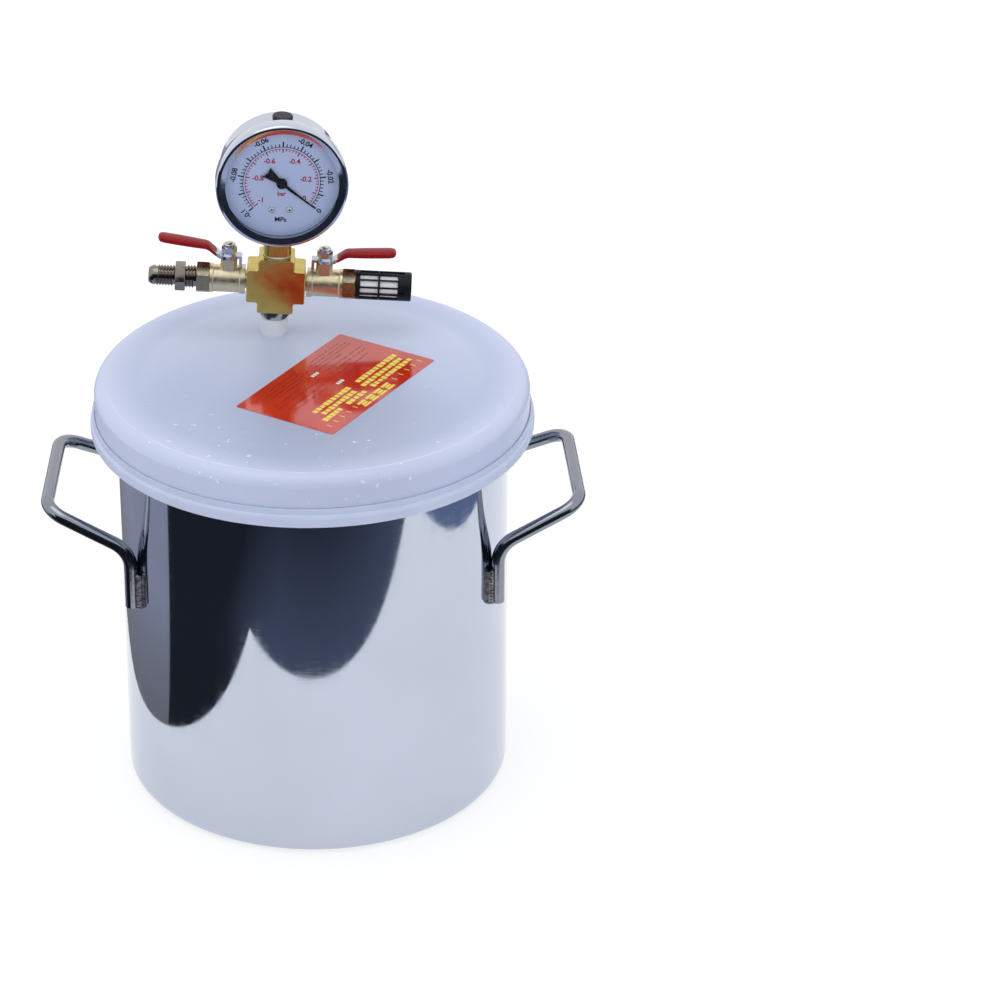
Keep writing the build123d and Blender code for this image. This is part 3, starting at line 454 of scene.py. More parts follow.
class ChamberColours(bpy.types.PropertyGroup):
    """Base colours of the finishes."""

    def colour(name, description, default):
        return FloatVectorProperty(
            name=name, description=description, subtype="COLOR", size=3, min=0.0, max=1.0,
            default=default,
        )

    pot: colour("Pot", "Polished steel of the pot", (0.53, 0.57, 0.675))
    # Rod is kept far darker than the pot's steel: painted dark reflections of the pot and room in the rods.
    rod: colour("Handles", "Polished rod", (0.27, 0.285, 0.33))
    weld: colour("Welds", "Weld beads", (0.34, 0.33, 0.34))
    rubber: colour("Gasket", "White silicone", (0.62, 0.68, 0.88))
    # Lid middle is darker than lid edge as painted shade: the pot's shaded inside showing through the acrylic.
    lid_middle: colour("Lid middle", "Acrylic over the pot's mouth", (0.47, 0.53, 0.73))
    lid_edge: colour("Lid edge", "Acrylic over the gasket and round the side", (0.60, 0.65, 0.86))
    label: colour("Label", "Printed red of the label", (0.60, 0.028, 0.012))
    label_marks: colour("Label marks", "Printed yellow marks", (0.92, 0.74, 0.10))
    cross: colour("Cross", "Machined brass", (0.66, 0.50, 0.13))
    valve: colour("Valves", "Satin brass", (0.76, 0.68, 0.46))
    cap: colour("Valve caps", "Dull brass of the hexagons", (0.30, 0.275, 0.19))
    nickel: colour("Nickel", "Plating of the nipples and balls", (0.25, 0.225, 0.20))
    zinc: colour("Levers", "Zinc plate", (0.52, 0.55, 0.62))
    grip: colour("Grips", "Dipped vinyl", (0.29, 0.004, 0.007))
    dial: colour("Dial", "Printed dial", (0.44, 0.52, 0.77))
    black: colour("Black", "Black plastic and paint", (0.010, 0.012, 0.018))
    gauge: colour("Gauge", "Polished gauge steel", (0.57, 0.60, 0.70))


class ChamberSizes(bpy.types.PropertyGroup):
    """Sizes of the details added to the frame."""

    def length(name, description, default):
        return FloatProperty(
            name=name, description=description, subtype="DISTANCE", unit="LENGTH", min=0.0,
            default=default,
        )

    thread_pitch: length("Thread pitch", "From one thread to the next", 1.5 * MM)
    thread_depth: length("Thread depth", "Height of a thread over its root", 0.8 * MM)
    scale_radius: length("Scale radius", "Of the dial's outer arc", 19.9 * MM)
    scale_gap: length("Scale gap", "From the outer arc to the inner one", 1.1 * MM)
    scale_sweep: FloatProperty(
        name="Scale sweep", description="Angle from one end to the other", subtype="ANGLE",
        default=radians(263),
    )
    ripple_count: IntProperty(
        name="Weld ripples", description="Ripples on each bead", min=1, default=11
    )


class ChamberStage(bpy.types.PropertyGroup):
    """Camera and light."""

    camera_place: FloatVectorProperty(
        name="Camera", description="Where the camera stands", subtype="TRANSLATION", unit="LENGTH",
        default=(0.09685, -1.91806, 1.20018),
    )
    camera_down: FloatProperty(
        name="Looking down", description="Angle below level", subtype="ANGLE", default=radians(28.594)
    )
    camera_roll: FloatProperty(
        name="Roll", description="Turn about the line of sight", subtype="ANGLE", default=radians(0.411)
    )
    lens: FloatProperty(name="Lens", description="Focal length in millimetres", default=150.71)
    sky: FloatProperty(
        name="Sky", description="Strength of the even light all round", min=0.0, default=0.86
    )
    key: FloatProperty(
        name="Key light", description="Power of the soft box", unit="POWER", default=9.0
    )


# ---------------------------------------------------------------- operators


class CHAMBER_OT_pot(bpy.types.Operator):
    """Polished pot and its silicone gasket"""

    bl_idname = "chamber.pot"
    bl_label = "Pot and gasket"

    def execute(self, context):
        colours = context.scene.chamber_colours
        steel = Finish("mirror_steel", colours.pot, 0.06, metallic=1.0)
        grain = steel.noise(1.0, 3.0, stretch=(90, 90, 1100))
        streaks = steel.noise(1.0, 2.0, stretch=(160, 160, 5))
        wear_and_glint_breaks = steel.maths("MULTIPLY", grain, streaks)
        steel.polish(steel.scaled(wear_and_glint_breaks, 0.035, 0.10, 0.15, 0.45))
        cloud = steel.noise(14.0, 2.0)
        steel.paint(steel.bands(cloud, (0.35, [0.95 * c for c in colours.pot]), (0.65, colours.pot)))
        steel.grain(22.0, 1.0, 0.12, 0.25)
        steel.bump(steel.noise(1.0, 2.0, stretch=(60, 60, 1800)), 0.01 * MM, 0.15)
        dress(steel.material, "pot")

        rubber = Finish(
            "white_silicone", colours.rubber, 0.38, subsurface_weight=0.25, subsurface_scale=4 * MM
        )
        haze = rubber.noise(60.0, 3.0)
        rubber.paint(
            rubber.bands(haze, (0.3, [0.93 * c for c in colours.rubber]), (0.7, colours.rubber))
        )
        rubber.grain(400.0, 2.0, 0.03, 0.4)
        dress(rubber.material, "gasket")
        return {"FINISHED"}


class CHAMBER_OT_handles(bpy.types.Operator):
    """Bent rod handles and their weld beads"""

    bl_idname = "chamber.handles"
    bl_label = "Handles and welds"

    def execute(self, context):
        colours = context.scene.chamber_colours
        # Base colour far darker than the pot's steel: painted dark reflections of the pot and room.
        rod = Finish("rod_steel", colours.rod, 0.12, metallic=1.0)
        rod.wear(300.0, 3.0, 0.07, 0.22)
        rod.grain(180.0, 2.0, 0.03, 0.35)
        dress(rod.material, "left_handle", "right_handle")

        bead = Finish("weld_steel", colours.weld, 0.3, metallic=1.0)
        tint = bead.noise(500.0, 2.0)
        bead.paint(bead.bands(tint, (0.35, (0.10, 0.09, 0.10)), (0.6, colours.weld)))
        bead.grain(900.0, 2.0, 0.15, 0.6)
        dress(bead.material, "handle_welds")
        self.ripples(context.scene.chamber_sizes.ripple_count, bead.material)
        return {"FINISHED"}

    def ripples(self, count, material):
        """Overlapping crescents along every bead."""
        beads = bmesh.new()
        beads.from_mesh(frame["nodes"]["handle_welds"].data)
        bmesh.ops.remove_doubles(beads, verts=beads.verts, dist=0.01 * MM)
        bm = bmesh.new()
        for island in islands(beads):
            low, high = min(v.co.z for v in island), max(v.co.z for v in island)
            middle = sum((v.co for v in island), Vector()) / len(island)
            out = Vector((middle.x, middle.y, 0)).normalized()
            for step in range(count):
                share = (step + 0.5) / count
                centre = Vector((middle.x, middle.y, low + (high - low) * share)) + out * RIPPLE_OUT
                place = placed(centre, out, (0, 0, 1)) @ Matrix.Rotation(RIPPLE_LEAN, 4, "X")
                sizes = Matrix.Diagonal((*RIPPLE, 1))
                bmesh.ops.create_icosphere(bm, subdivisions=2, radius=1.0, matrix=place @ sizes)
        beads.free()
        piece("weld_ripples", bm, "vessel", material)


class CHAMBER_OT_lid(bpy.types.Operator):
    """Thick acrylic lid, its boss and its label"""

    bl_idname = "chamber.lid"
    bl_label = "Lid and label"

    def execute(self, context):
        colours = context.scene.chamber_colours
        acrylic = Finish("lid_acrylic", colours.lid_middle, 0.3)
        radius = acrylic.radius()
        # Painted shade: the middle, over the pot's mouth, darker than the edge band over the white gasket.
        outer = acrylic.scaled(radius, 0.0, 1.0, 0.090, 0.106)
        body = acrylic.blend(outer, tuple(colours.lid_middle), tuple(colours.lid_edge))
        # Painted light: the back of the lid's middle lightened, against the shade that the mast casts there.
        painted_light_back = acrylic.scaled(acrylic.along("Y"), 0.0, 1.0, -0.035, 0.04)
        within = acrylic.scaled(radius, 1.0, 0.0, 0.086, 0.098)
        body = acrylic.blend(acrylic.maths("MULTIPLY", painted_light_back, within), body, (0.57, 0.63, 0.82))
        # Painted shade: a darker round patch over the front of the middle, the pot's shaded inside seen through
        # the lid.
        painted_shade_front = acrylic.scaled(acrylic.radius((0.012, -0.052, 0)), 0.8, 0.0, 0.0, 0.070)
        body = acrylic.blend(painted_shade_front, body, (0.345, 0.375, 0.49))
        front = acrylic.scaled(acrylic.along("Y"), 1.0, 0.0, -0.075, 0.0)
        flecks = acrylic.noise(1.0, 3.0, stretch=(240, 330, 240), turn=(0, 0, 0.3))
        speck = acrylic.scaled(flecks, 0.0, 0.9, 0.69, 0.72)
        scratch = acrylic.noise(1.0, 2.0, stretch=(50, 900, 400), turn=(0, 0, -0.12))
        line = acrylic.scaled(scratch, 0.0, 0.35, 0.72, 0.76)
        marks = acrylic.maths("MULTIPLY", acrylic.maths("MAXIMUM", speck, line), front)
        body = acrylic.blend(marks, body, (0.86, 0.90, 0.98))
        # Painted highlight: a pale line along the front of the top, where the round-over starts, broken up by
        # noise.
        rim = acrylic.maths("ABSOLUTE", acrylic.maths("SUBTRACT", radius, LID_RADIUS - LID_ROUND))
        wear_and_glint_breaks = acrylic.scaled(acrylic.noise(1.0, 2.0, stretch=(60, 60, 60)), 0.15, 1.0, 0.35, 0.6)
        edge = acrylic.maths("MULTIPLY", acrylic.scaled(rim, 0.8, 0.0, 0.0, 0.45 * MM), wear_and_glint_breaks)
        flat = acrylic.scaled(acrylic.along("Z"), 0.0, 1.0, LID_TOP - 0.5 * MM, LID_TOP - 0.3 * MM)
        edge = acrylic.maths("MULTIPLY", edge, acrylic.maths("MULTIPLY", flat, front))
        acrylic.paint(acrylic.blend(edge, body, (0.86, 0.90, 0.98)))
        acrylic.polish(acrylic.scaled(acrylic.noise(120.0, 2.0), 0.30, 0.36, 0.2, 0.8))
        acrylic.grain(500.0, 3.0, 0.01, 0.25)
        dress(acrylic.material, "lid_disc")

        clear = Finish(
            "clear_boss", (0.92, 0.95, 1.0), 0.08, transmission_weight=0.2, ior=1.45
        )
        clear.wear(300.0, 2.0, 0.05, 0.2)
        dress(clear.material, "lid_boss")

        sheet = Finish("red_sticker", colours.label, 0.12, coat_weight=0.6, coat_roughness=0.05)
        fade = sheet.noise(45.0, 2.0)
        sheet.paint(sheet.bands(fade, (0.35, [0.9 * c for c in colours.label]), (0.7, colours.label)))
        sheet.wear(120.0, 2.0, 0.08, 0.18)
        sheet.grain(20.0, 1.0, 0.25, 0.3)
        dress(sheet.material, "lid_label")
        self.print_label(colours)
        return {"FINISHED"}

    def print_label(self, colours):
        """Rows of plain blocks and fine lines: the layout of a printed label with no words."""
        corners = [v.co for v in frame["nodes"]["lid_label"].data.vertices]
        top = max(co.z for co in corners)
        middle = sum(corners, Vector()) / len(corners)
        along = Vector((cos(LABEL_TURN), sin(LABEL_TURN), 0))
        across = Vector((-along.y, along.x, 0))
        length, width = (2 * reach("lid_label", middle, axis)[1] for axis in (along, across))
        place = placed((middle.x, middle.y, top + 0.04 * MM), (0, 0, 1), across)
        draw = random.Random(4)

        def spot(bm, u, v, du, dv):
            x, y = (u - 0.5) * length, (0.5 - v) * width
            add_patch(bm, x, x + du * length, y - dv * width, y, place)

        yellow = Finish("label_yellow", colours.label_marks, 0.25)
        yellow.grain(900.0, 2.0, 0.01, 0.3)
        bm = bmesh.new()
        for v, spans in LABEL_ROWS:
            for start, end in spans:
                count = round((end - start) / 0.036)
                step = (end - start) / count
                for k in range(count):
                    tall = draw.uniform(0.042, 0.058)
                    spot(bm, start + k * step, v - tall / 2, step * draw.uniform(0.72, 0.9), tall)
        for k in range(4):
            for u, v, du, dv in HEADING:
                spot(bm, u + HEADING_STEP * k, v, du, dv)
        for start in DASH_STARTS:
            for k in range(5):
                spot(bm, start + DASH_STEP * k, 0.862, 0.006, 0.055)
        piece("label_blocks", bm, "lid", yellow.material, smooth=False)

        dark = Finish("label_dark", (0.12, 0.006, 0.010), 0.3)
        dark.grain(900.0, 2.0, 0.01, 0.3)
        bm = bmesh.new()
        for v, spans in LABEL_LINES:
            for start, end in spans:
                at = start
                while at < end:
                    run = draw.uniform(0.004, 0.018)
                    shift = draw.uniform(-0.003, 0.003)
                    spot(bm, at, v + shift, min(run, end - at), draw.uniform(0.006, 0.012))
                    at += run + draw.uniform(0.004, 0.009)
        piece("label_lines", bm, "lid", dark.material, smooth=False)

        white = Finish("label_white", (0.80, 0.80, 0.84), 0.3)
        white.grain(900.0, 2.0, 0.01, 0.3)
        bm = bmesh.new()
        for v in (0.235, 0.50):
            for k in range(3):
                spot(bm, 0.492 + 0.021 * k, v, 0.016, 0.035)
        piece("label_white", bm, "lid", white.material, smooth=False)


class CHAMBER_OT_manifold(bpy.types.Operator):
    """Brass cross, lower nipple, seal and gauge socket"""

    bl_idname = "chamber.manifold"
    bl_label = "Cross and sockets"

    def execute(self, context):
        colours = context.scene.chamber_colours
        brass = Finish("cross_brass", colours.cross, 0.22, metallic=1.0)
        tarnish = brass.noise(160.0, 3.0)
        brass.paint(brass.bands(tarnish, (0.3, [0.8 * c for c in colours.cross]), (0.7, colours.cross)))
        brass.wear(220.0, 3.0, 0.18, 0.26)
        brass.bump(brass.noise(1.0, 2.0, stretch=(150, 150, 2600)), 0.004 * MM, 0.2)
        dress(brass.material, "cross_manifold", "gauge_socket")

        nickel = Finish("nickel", colours.nickel, 0.16, metallic=1.0)
        nickel.wear(500.0, 3.0, 0.10, 0.25)
        nickel.grain(1500.0, 2.0, 0.01, 0.3)
        dress(nickel.material, "hose_nipple")
        bright = Finish("bright_nickel", colours.zinc, 0.14, metallic=1.0)
        bright.wear(500.0, 3.0, 0.08, 0.22)
        bright.grain(1500.0, 2.0, 0.01, 0.3)
        dress(bright.material, "left_ball", "right_ball")
        # Painted reflections: dark and bright patches over the hexagon's facets.
        hex_painted_reflections = Finish("hex_nickel", colours.zinc, 0.14, metallic=1.0)
        dark, pale = (0.42, (0.05, 0.05, 0.055)), (0.56, (0.62, 0.60, 0.56))
        hex_painted_reflections.paint(hex_painted_reflections.bands(hex_painted_reflections.noise(170.0, 1.0), dark, pale))
        hex_painted_reflections.wear(500.0, 3.0, 0.08, 0.22)
        hex_painted_reflections.grain(1500.0, 2.0, 0.01, 0.3)
        dress(hex_painted_reflections.material, "hex_nipple")
        self.hose_nipple(context.scene.chamber_sizes, nickel.material)

        tape = Finish("white_ptfe", (0.78, 0.80, 0.84), 0.5)
        tape.grain(900.0, 2.0, 0.02, 0.4)
        dress(tape.material, "gauge_seal")
        for side in SIDES:
            dress(tape.material, f"{side}_ball_seats", f"{side}_stem_packing")
        return {"FINISHED"}

    def hose_nipple(self, sizes, material):
        """Turned nipple with two threads and a hexagon, in place of the plain one."""
        place = placed(HOSE_CENTRE, HOSE_OUT, MAST_UP)
        bm = bmesh.new()
        wide, slim = 6.0 * MM, 5.5 * MM
        deep = sizes.thread_depth
        bore = 2.4 * MM
        stations = {
            "back": -21.8, "face": -15.85, "hex": -10.05, "thread": -4.75, "cone": 5.5, "tip": 9.05,
        }
        at = {name: value * MM for name, value in stations.items()}
        lathe(bm, (
            (bore, at["back"]), (wide, at["back"]), (wide, at["face"]), (wide - deep, at["face"]),
            (wide - deep, at["hex"]), (slim - deep, at["hex"] + 1 * MM), (slim - deep, at["thread"]),
            (slim - deep, at["cone"]), (slim - 0.3 * MM, at["cone"]),
            (slim - 0.35 * MM, at["cone"] + 0.9 * MM), (4.5 * MM, at["tip"] - 1.1 * MM),
            (4.0 * MM, at["tip"] - 0.35 * MM), (3.4 * MM, at["tip"]),
            (bore + 0.5 * MM, at["tip"]), (bore, at["tip"] - 0.5 * MM),
        ), place)
        pitch = sizes.thread_pitch
        add_thread(bm, wide - 1.15 * deep, wide, pitch, at["face"], at["hex"] + 0.4 * MM, place)
        add_thread(bm, slim - 1.15 * deep, slim, pitch, at["thread"] - 0.3 * MM, at["cone"], place)
        hexagon = bmesh.new()
        flat = 6.75 * MM
        bmesh.ops.create_cone(
            hexagon, cap_ends=True, segments=6, radius1=flat / cos(pi / 6), radius2=flat / cos(pi / 6),
            depth=at["thread"] - at["hex"],
        )
        bmesh.ops.bevel(
            hexagon, geom=list(hexagon.edges), offset=0.45 * MM, segments=3, profile=0.5,
            affect="EDGES", material=-1,
        )
        middle = Matrix.Translation((0, 0, (at["thread"] + at["hex"]) / 2))
        bmesh.ops.transform(
            hexagon, matrix=place @ middle @ Matrix.Rotation(pi / 2, 4, "Z"), verts=hexagon.verts
        )
        joined = bpy.data.meshes.new("hexagon")
        hexagon.to_mesh(joined)
        hexagon.free()
        bm.from_mesh(joined)
        bpy.data.meshes.remove(joined)
        made = piece("turned_nipple", bm, "lid", material)
        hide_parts("hose_nipple")


class CHAMBER_OT_valves(bpy.types.Operator):
    """Ball valves with their levers"""

    bl_idname = "chamber.valves"
    bl_label = "Valves and levers"

    def execute(self, context):
        colours = context.scene.chamber_colours
        cast = Finish("cast_brass", colours.valve, 0.3, metallic=1.0)
        cast.wear(450.0, 3.0, 0.30, 0.48)
        cast.grain(1100.0, 3.0, 0.02, 0.35)
        hexes = Finish("cap_brass", colours.cap, 0.25, metallic=1.0)
        hexes.wear(450.0, 3.0, 0.18, 0.34)
        hexes.grain(1100.0, 3.0, 0.01, 0.3)
        zinc = Finish("zinc_plate", colours.zinc, 0.2, metallic=1.0)
        zinc.wear(400.0, 3.0, 0.12, 0.32)
        zinc.grain(900.0, 2.0, 0.012, 0.3)
        vinyl = Finish("red_vinyl", colours.grip, 0.3, specular_ior_level=0.2)
        vinyl.wear(200.0, 2.0, 0.20, 0.36)
        vinyl.grain(250.0, 2.0, 0.05, 0.4)
        for side in SIDES:
            dress(cast.material, f"{side}_valve_body", f"{side}_valve_stem")
            dress(hexes.material, f"{side}_valve_cap")
            dress(zinc.material, f"{side}_lever", f"{side}_lever_nut")
            dress(vinyl.material, f"{side}_lever_grip")
            self.grip(side, vinyl.material)
        return {"FINISHED"}

    def grip(self, side, material):
        """Dipped grip: thin where it starts, full and round at its end."""
        joint = JOINTS[f"{side}_lever_turn"]
        out = HOSE_OUT if side == "left" else -HOSE_OUT
        across = MAST_UP.cross(out)
        turn = Matrix((out, across, MAST_UP)).transposed().to_4x4()
        place = Matrix.Translation(joint["pos_m"]) @ turn
        bend, tip = LEVER_LEVELS[side]

        def level(x):
            """Height of the lever's middle."""
            if x < LEVER_BEND:
                rise = (bend - LEVER_START_LEVEL) / (LEVER_BEND - LEVER_START)
                return LEVER_START_LEVEL + (x - LEVER_START) * rise
            return bend + (x - LEVER_BEND) * (tip - bend) / (LEVER_TIP - LEVER_BEND)

        sections = [
            (x * MM, level(x) * MM, wide * MM, thick * MM) for x, wide, thick in GRIP_SECTIONS
        ]
        bm = bmesh.new()
        add_loft(bm, sections, place)
        made = piece(f"{side}_dipped_grip", bm, f"{side}_lever_set", material)
        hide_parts(f"{side}_lever_grip")


class CHAMBER_OT_muffler(bpy.types.Operator):
    """Black muffler cage and its porous element"""

    bl_idname = "chamber.muffler"
    bl_label = "Muffler"

    def execute(self, context):
        colours = context.scene.chamber_colours
        cage = Finish("black_plastic", colours.black, 0.28, specular_ior_level=0.12)
        cage.wear(500.0, 2.0, 0.22, 0.38)
        cage.grain(1400.0, 2.0, 0.01, 0.3)
        dress(cage.material, "muffler_cage")
        porous = Finish("porous_white", (0.93, 0.95, 1.0), 0.8)
        porous.grain(2200.0, 3.0, 0.06, 0.6)
        dress(porous.material, "muffler_element")
        return {"FINISHED"}


class CHAMBER_OT_gauge(bpy.types.Operator):
    """Gauge case, bezel, window, dial and movement"""

    bl_idname = "chamber.gauge"
    bl_label = "Gauge"

    def execute(self, context):
        colours = context.scene.chamber_colours
        steel = Finish("gauge_steel", colours.gauge, 0.08, metallic=1.0)
        steel.wear(200.0, 3.0, 0.05, 0.14)
        steel.grain(60.0, 1.0, 0.03, 0.3)
        dress(steel.material, "gauge_case", "gauge_bezel")

        ring = Finish("spacer_plastic", (0.50, 0.54, 0.60), 0.12, metallic=0.8)
        ring.grain(300.0, 2.0, 0.01, 0.3)
        dress(ring.material, "window_spacer")

        glass = Finish("gauge_glass", (0.98, 0.99, 1.0), 0.02, transmission_weight=1.0, ior=1.08)
        glass.wear(30.0, 2.0, 0.0, 0.04)
        dress(glass.material, "gauge_window")

        self.bezel(steel.material)

        dial = Finish("dial_paint", colours.dial, 0.4, specular_ior_level=0.2)
        dial.grain(1500.0, 2.0, 0.005, 0.3)
        dress(dial.material, "gauge_dial")

        needle = Finish("pointer_paint", colours.black, 0.35, specular_ior_level=0.1)
        needle.grain(1500.0, 2.0, 0.01, 0.3)
        dress(needle.material, "pointer")

        screw = Finish("screw_steel", (0.45, 0.47, 0.50), 0.15, metallic=1.0)
        screw.grain(1500.0, 2.0, 0.01, 0.3)
        dress(screw.material, "dial_screws")

        plug = Finish("black_rubber", (0.016, 0.018, 0.028), 0.4, specular_ior_level=0.25)
        plug.grain(800.0, 2.0, 0.02, 0.4)
        dress(plug.material, "fill_plug")

        brass = Finish("movement_brass", (0.62, 0.47, 0.2), 0.28, metallic=1.0)
        brass.grain(1200.0, 2.0, 0.01, 0.3)
        dress(
            brass.material, "movement_frame", "bourdon_tube", "tube_tip", "gauge_link", "sector_gear",
            "pinion_shaft",
        )
        self.print_dial(context.scene.chamber_sizes)
        self.small_parts(needle.material)
        return {"FINISHED"}

    def bezel(self, material):
        """Pressed ring with a rounded rim and a sloped inner lip."""
        place = placed(GAUGE_CENTRE, GAUGE_OUT, MAST_UP)
        back, front = reach("gauge_bezel", GAUGE_CENTRE, GAUGE_OUT)
        outer = 34.0 * MM
        skin = 0.9 * MM
        bm = bmesh.new()
        lathe(bm, (
            (outer - 4.9 * MM, front - 1.4 * MM), (outer - 4.9 * MM, front - 1.25 * MM),
            (outer - 2.1 * MM, front - 0.05 * MM), (outer - 1.7 * MM, front),
            (outer - 1.0 * MM, front - 0.15 * MM),
            (outer - 0.45 * MM, front - 0.5 * MM), (outer - 0.1 * MM, front - 1.05 * MM),
            (outer, front - 1.7 * MM), (outer, back + 0.5 * MM), (outer - 0.15 * MM, back + 0.15 * MM),
            (outer - 0.5 * MM, back), (outer - 2.7 * MM, back), (outer - 2.7 * MM, back + skin),
            (outer - skin, back + skin), (outer - skin, front - 1.4 * MM),
        ), place, steps=144)
        made = piece("pressed_bezel", bm, "lid", material)
        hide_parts("gauge_bezel")

    def print_dial(self, sizes):
        """Two scales: black outside with numbers along the arc, red inside with upright ones."""
        level = reach("gauge_dial", GAUGE_CENTRE, GAUGE_OUT)[1] + 0.03 * MM
        place = placed(GAUGE_CENTRE + GAUGE_OUT * level, GAUGE_OUT, MAST_UP)
        first, last = SCALE_ZERO, SCALE_ZERO + degrees(sizes.scale_sweep)
        majors = [first] + [SCALE_FIRST + MAJOR_STEP * k for k in range(MAJORS)]
        minors = [SCALE_FIRST + MINOR_STEP * (k + 1) for k in range(MINORS)] + list(FIRST_MINORS)
        outer, inner = sizes.scale_radius, sizes.scale_radius - sizes.scale_gap

        def tick(bm, angle, start, end, width):
            turned = place @ Matrix.Rotation(radians(angle), 4, "Z")
            add_patch(bm, start, end, -width / 2, width / 2, turned)

        black, red = bmesh.new(), bmesh.new()
        add_arc(black, outer, 0.36 * MM, first, last, place)
        add_arc(red, inner, 0.28 * MM, first, last, place)
        for angle in minors:
            tick(black, angle, outer, outer + 1.7 * MM, 0.5 * MM)
            tick(red, angle, inner - 1.2 * MM, inner, 0.44 * MM)
        for angle in majors:
            tick(black, angle, outer, outer + 3.0 * MM, 0.75 * MM)
            tick(red, angle, inner - 2.1 * MM, inner, 0.6 * MM)
        for words, angle in DIAL_OUTER:
            turned = place @ Matrix.Rotation(radians(angle - 90), 4, "Z")
            turned = turned @ Matrix.Translation((0, DIGIT_RADIUS * MM, 0))
            add_text(black, words, DIGIT_HEIGHT * MM, turned)
        for words, x, y in DIAL_INNER:
            middle = place @ Matrix.Translation((x * MM, y * MM, 0))
            add_text(red, words, DIGIT_HEIGHT * MM, middle)
        inks = {"black": black, "red": red}
        for name, words, height, y in DIAL_UNITS:
            middle = place @ Matrix.Translation((0.2 * MM, y * MM, 0))
            add_text(inks[name], words, height * MM, middle)
        tints = {"black": (0.012, 0.014, 0.022), "red": (0.36, 0.012, 0.03)}
        for name, bm in inks.items():
            ink = Finish(f"dial_{name}_ink", tints[name], 0.4, specular_ior_level=0.0)
            ink.grain(2000.0, 2.0, 0.003, 0.3)
            piece(f"dial_{name}_print", bm, "lid", ink.material, smooth=False)

    def small_parts(self, paint):
        """Pointer's cap, and near-black crosses on the dial's screws as painted shade in their slots."""
        front = reach("pinion_shaft", GAUGE_CENTRE, GAUGE_OUT)[1]
        place = placed(GAUGE_CENTRE + GAUGE_OUT * front, GAUGE_OUT, MAST_UP)
        bm = bmesh.new()
        lathe(bm, (
            (0, -1.0 * MM), (2.6 * MM, -1.0 * MM), (2.6 * MM, -0.1 * MM), (2.2 * MM, 0.25 * MM),
            (1.3 * MM, 0.45 * MM), (0, 0.5 * MM),
        ), place, steps=48)
        piece("pointer_cap", bm, "gauge_pointer", paint)

        head = reach("dial_screws", GAUGE_CENTRE, GAUGE_OUT)[1]
        # Painted shade: flat near-black crosses stand for the shade inside the screws' cross slots.
        slot_shade = Finish("screw_slot", (0.02, 0.02, 0.025), 0.5)
        slot_shade.grain(2000.0, 2.0, 0.003, 0.3)
        bm = bmesh.new()
        face = placed(GAUGE_CENTRE + GAUGE_OUT * (head - 0.02 * MM), GAUGE_OUT, MAST_UP)
        for x, y in SCREW_PLACES:
            for turn in (20, 110):
                place = face @ Matrix.Translation((x * MM, y * MM, 0))
                place = place @ Matrix.Rotation(radians(turn), 4, "Z")
                add_box(bm, (1.9 * MM, 0.45 * MM, 0.08 * MM), place)
        piece("screw_crosses", bm, "lid", slot_shade.material, smooth=False)


class CHAMBER_OT_stage(bpy.types.Operator):
    """Table, surroundings, lamps and camera"""

    bl_idname = "chamber.stage"
    bl_label = "Stage"

    def execute(self, context):
        setup = context.scene.chamber_stage
        scene = context.scene
        scene.view_settings.view_transform = "Standard"
        make_table()
        make_surroundings()
        make_sky(scene, setup.sky)
        add_lamp("top_light", (-0.3, -0.2, 2.4), (0, 0, 0.2), 1.6, setup.key)

        lens = bpy.data.cameras.new("camera")
        lens.lens = setup.lens
        lens.sensor_width = 36.0
        lens.clip_end = 20.0
        camera = bpy.data.objects.new("camera", lens)
        camera.matrix_world = (
            Matrix.Translation(setup.camera_place)
            @ Matrix.Rotation(pi / 2 - setup.camera_down, 4, "X")
            @ Matrix.Rotation(setup.camera_roll, 4, "Z")
        )
        scene.collection.objects.link(camera)
        scene.camera = camera
        return {"FINISHED"}


def seen_light(tree, shader, seen):
    """Mixes a shader with another for what the camera, mirrors and glass see directly."""
    path = tree.nodes.new("ShaderNodeLightPath")
    total = path.outputs["Is Camera Ray"]
    for ray in ("Is Transmission Ray", "Is Glossy Ray"):
        either = tree.nodes.new("ShaderNodeMath")
        either.operation = "MAXIMUM"
        tree.links.new(total, either.inputs[0])
        tree.links.new(path.outputs[ray], either.inputs[1])
        total = either.outputs["Value"]
    mix = tree.nodes.new("ShaderNodeMixShader")
    tree.links.new(total, mix.inputs["Fac"])
    tree.links.new(shader, mix.inputs[1])
    tree.links.new(seen, mix.inputs[2])
    return mix.outputs["Shader"]


def make_table():
    """White floor that keeps the object's shadow."""
    material = bpy.data.materials.new("table_white")
    material.use_nodes = True
    tree = material.node_tree
    shader = tree.nodes["Principled BSDF"]
    shader.inputs["Base Color"].default_value = (0.80, 0.81, 0.84, 1)
    shader.inputs["Roughness"].default_value = 0.9
    matt = tree.nodes.new("ShaderNodeBsdfDiffuse")
    matt.inputs["Color"].default_value = (0.42, 0.42, 0.42, 1)
    glow = tree.nodes.new("ShaderNodeEmission")
    glow.inputs["Strength"].default_value = 0.68
    both = tree.nodes.new("ShaderNodeAddShader")
    tree.links.new(matt.outputs["BSDF"], both.inputs[0])
    tree.links.new(glow.outputs["Emission"], both.inputs[1])
    mixed = seen_light(tree, shader.outputs["BSDF"], both.outputs["Shader"])
    tree.links.new(mixed, tree.nodes["Material Output"].inputs["Surface"])
    bm = bmesh.new()
    place = Matrix.Translation((0, 0, -0.3 * MM))
    bmesh.ops.create_grid(bm, x_segments=1, y_segments=1, size=ROOM, matrix=place)
    stage_piece("table", bm, material)


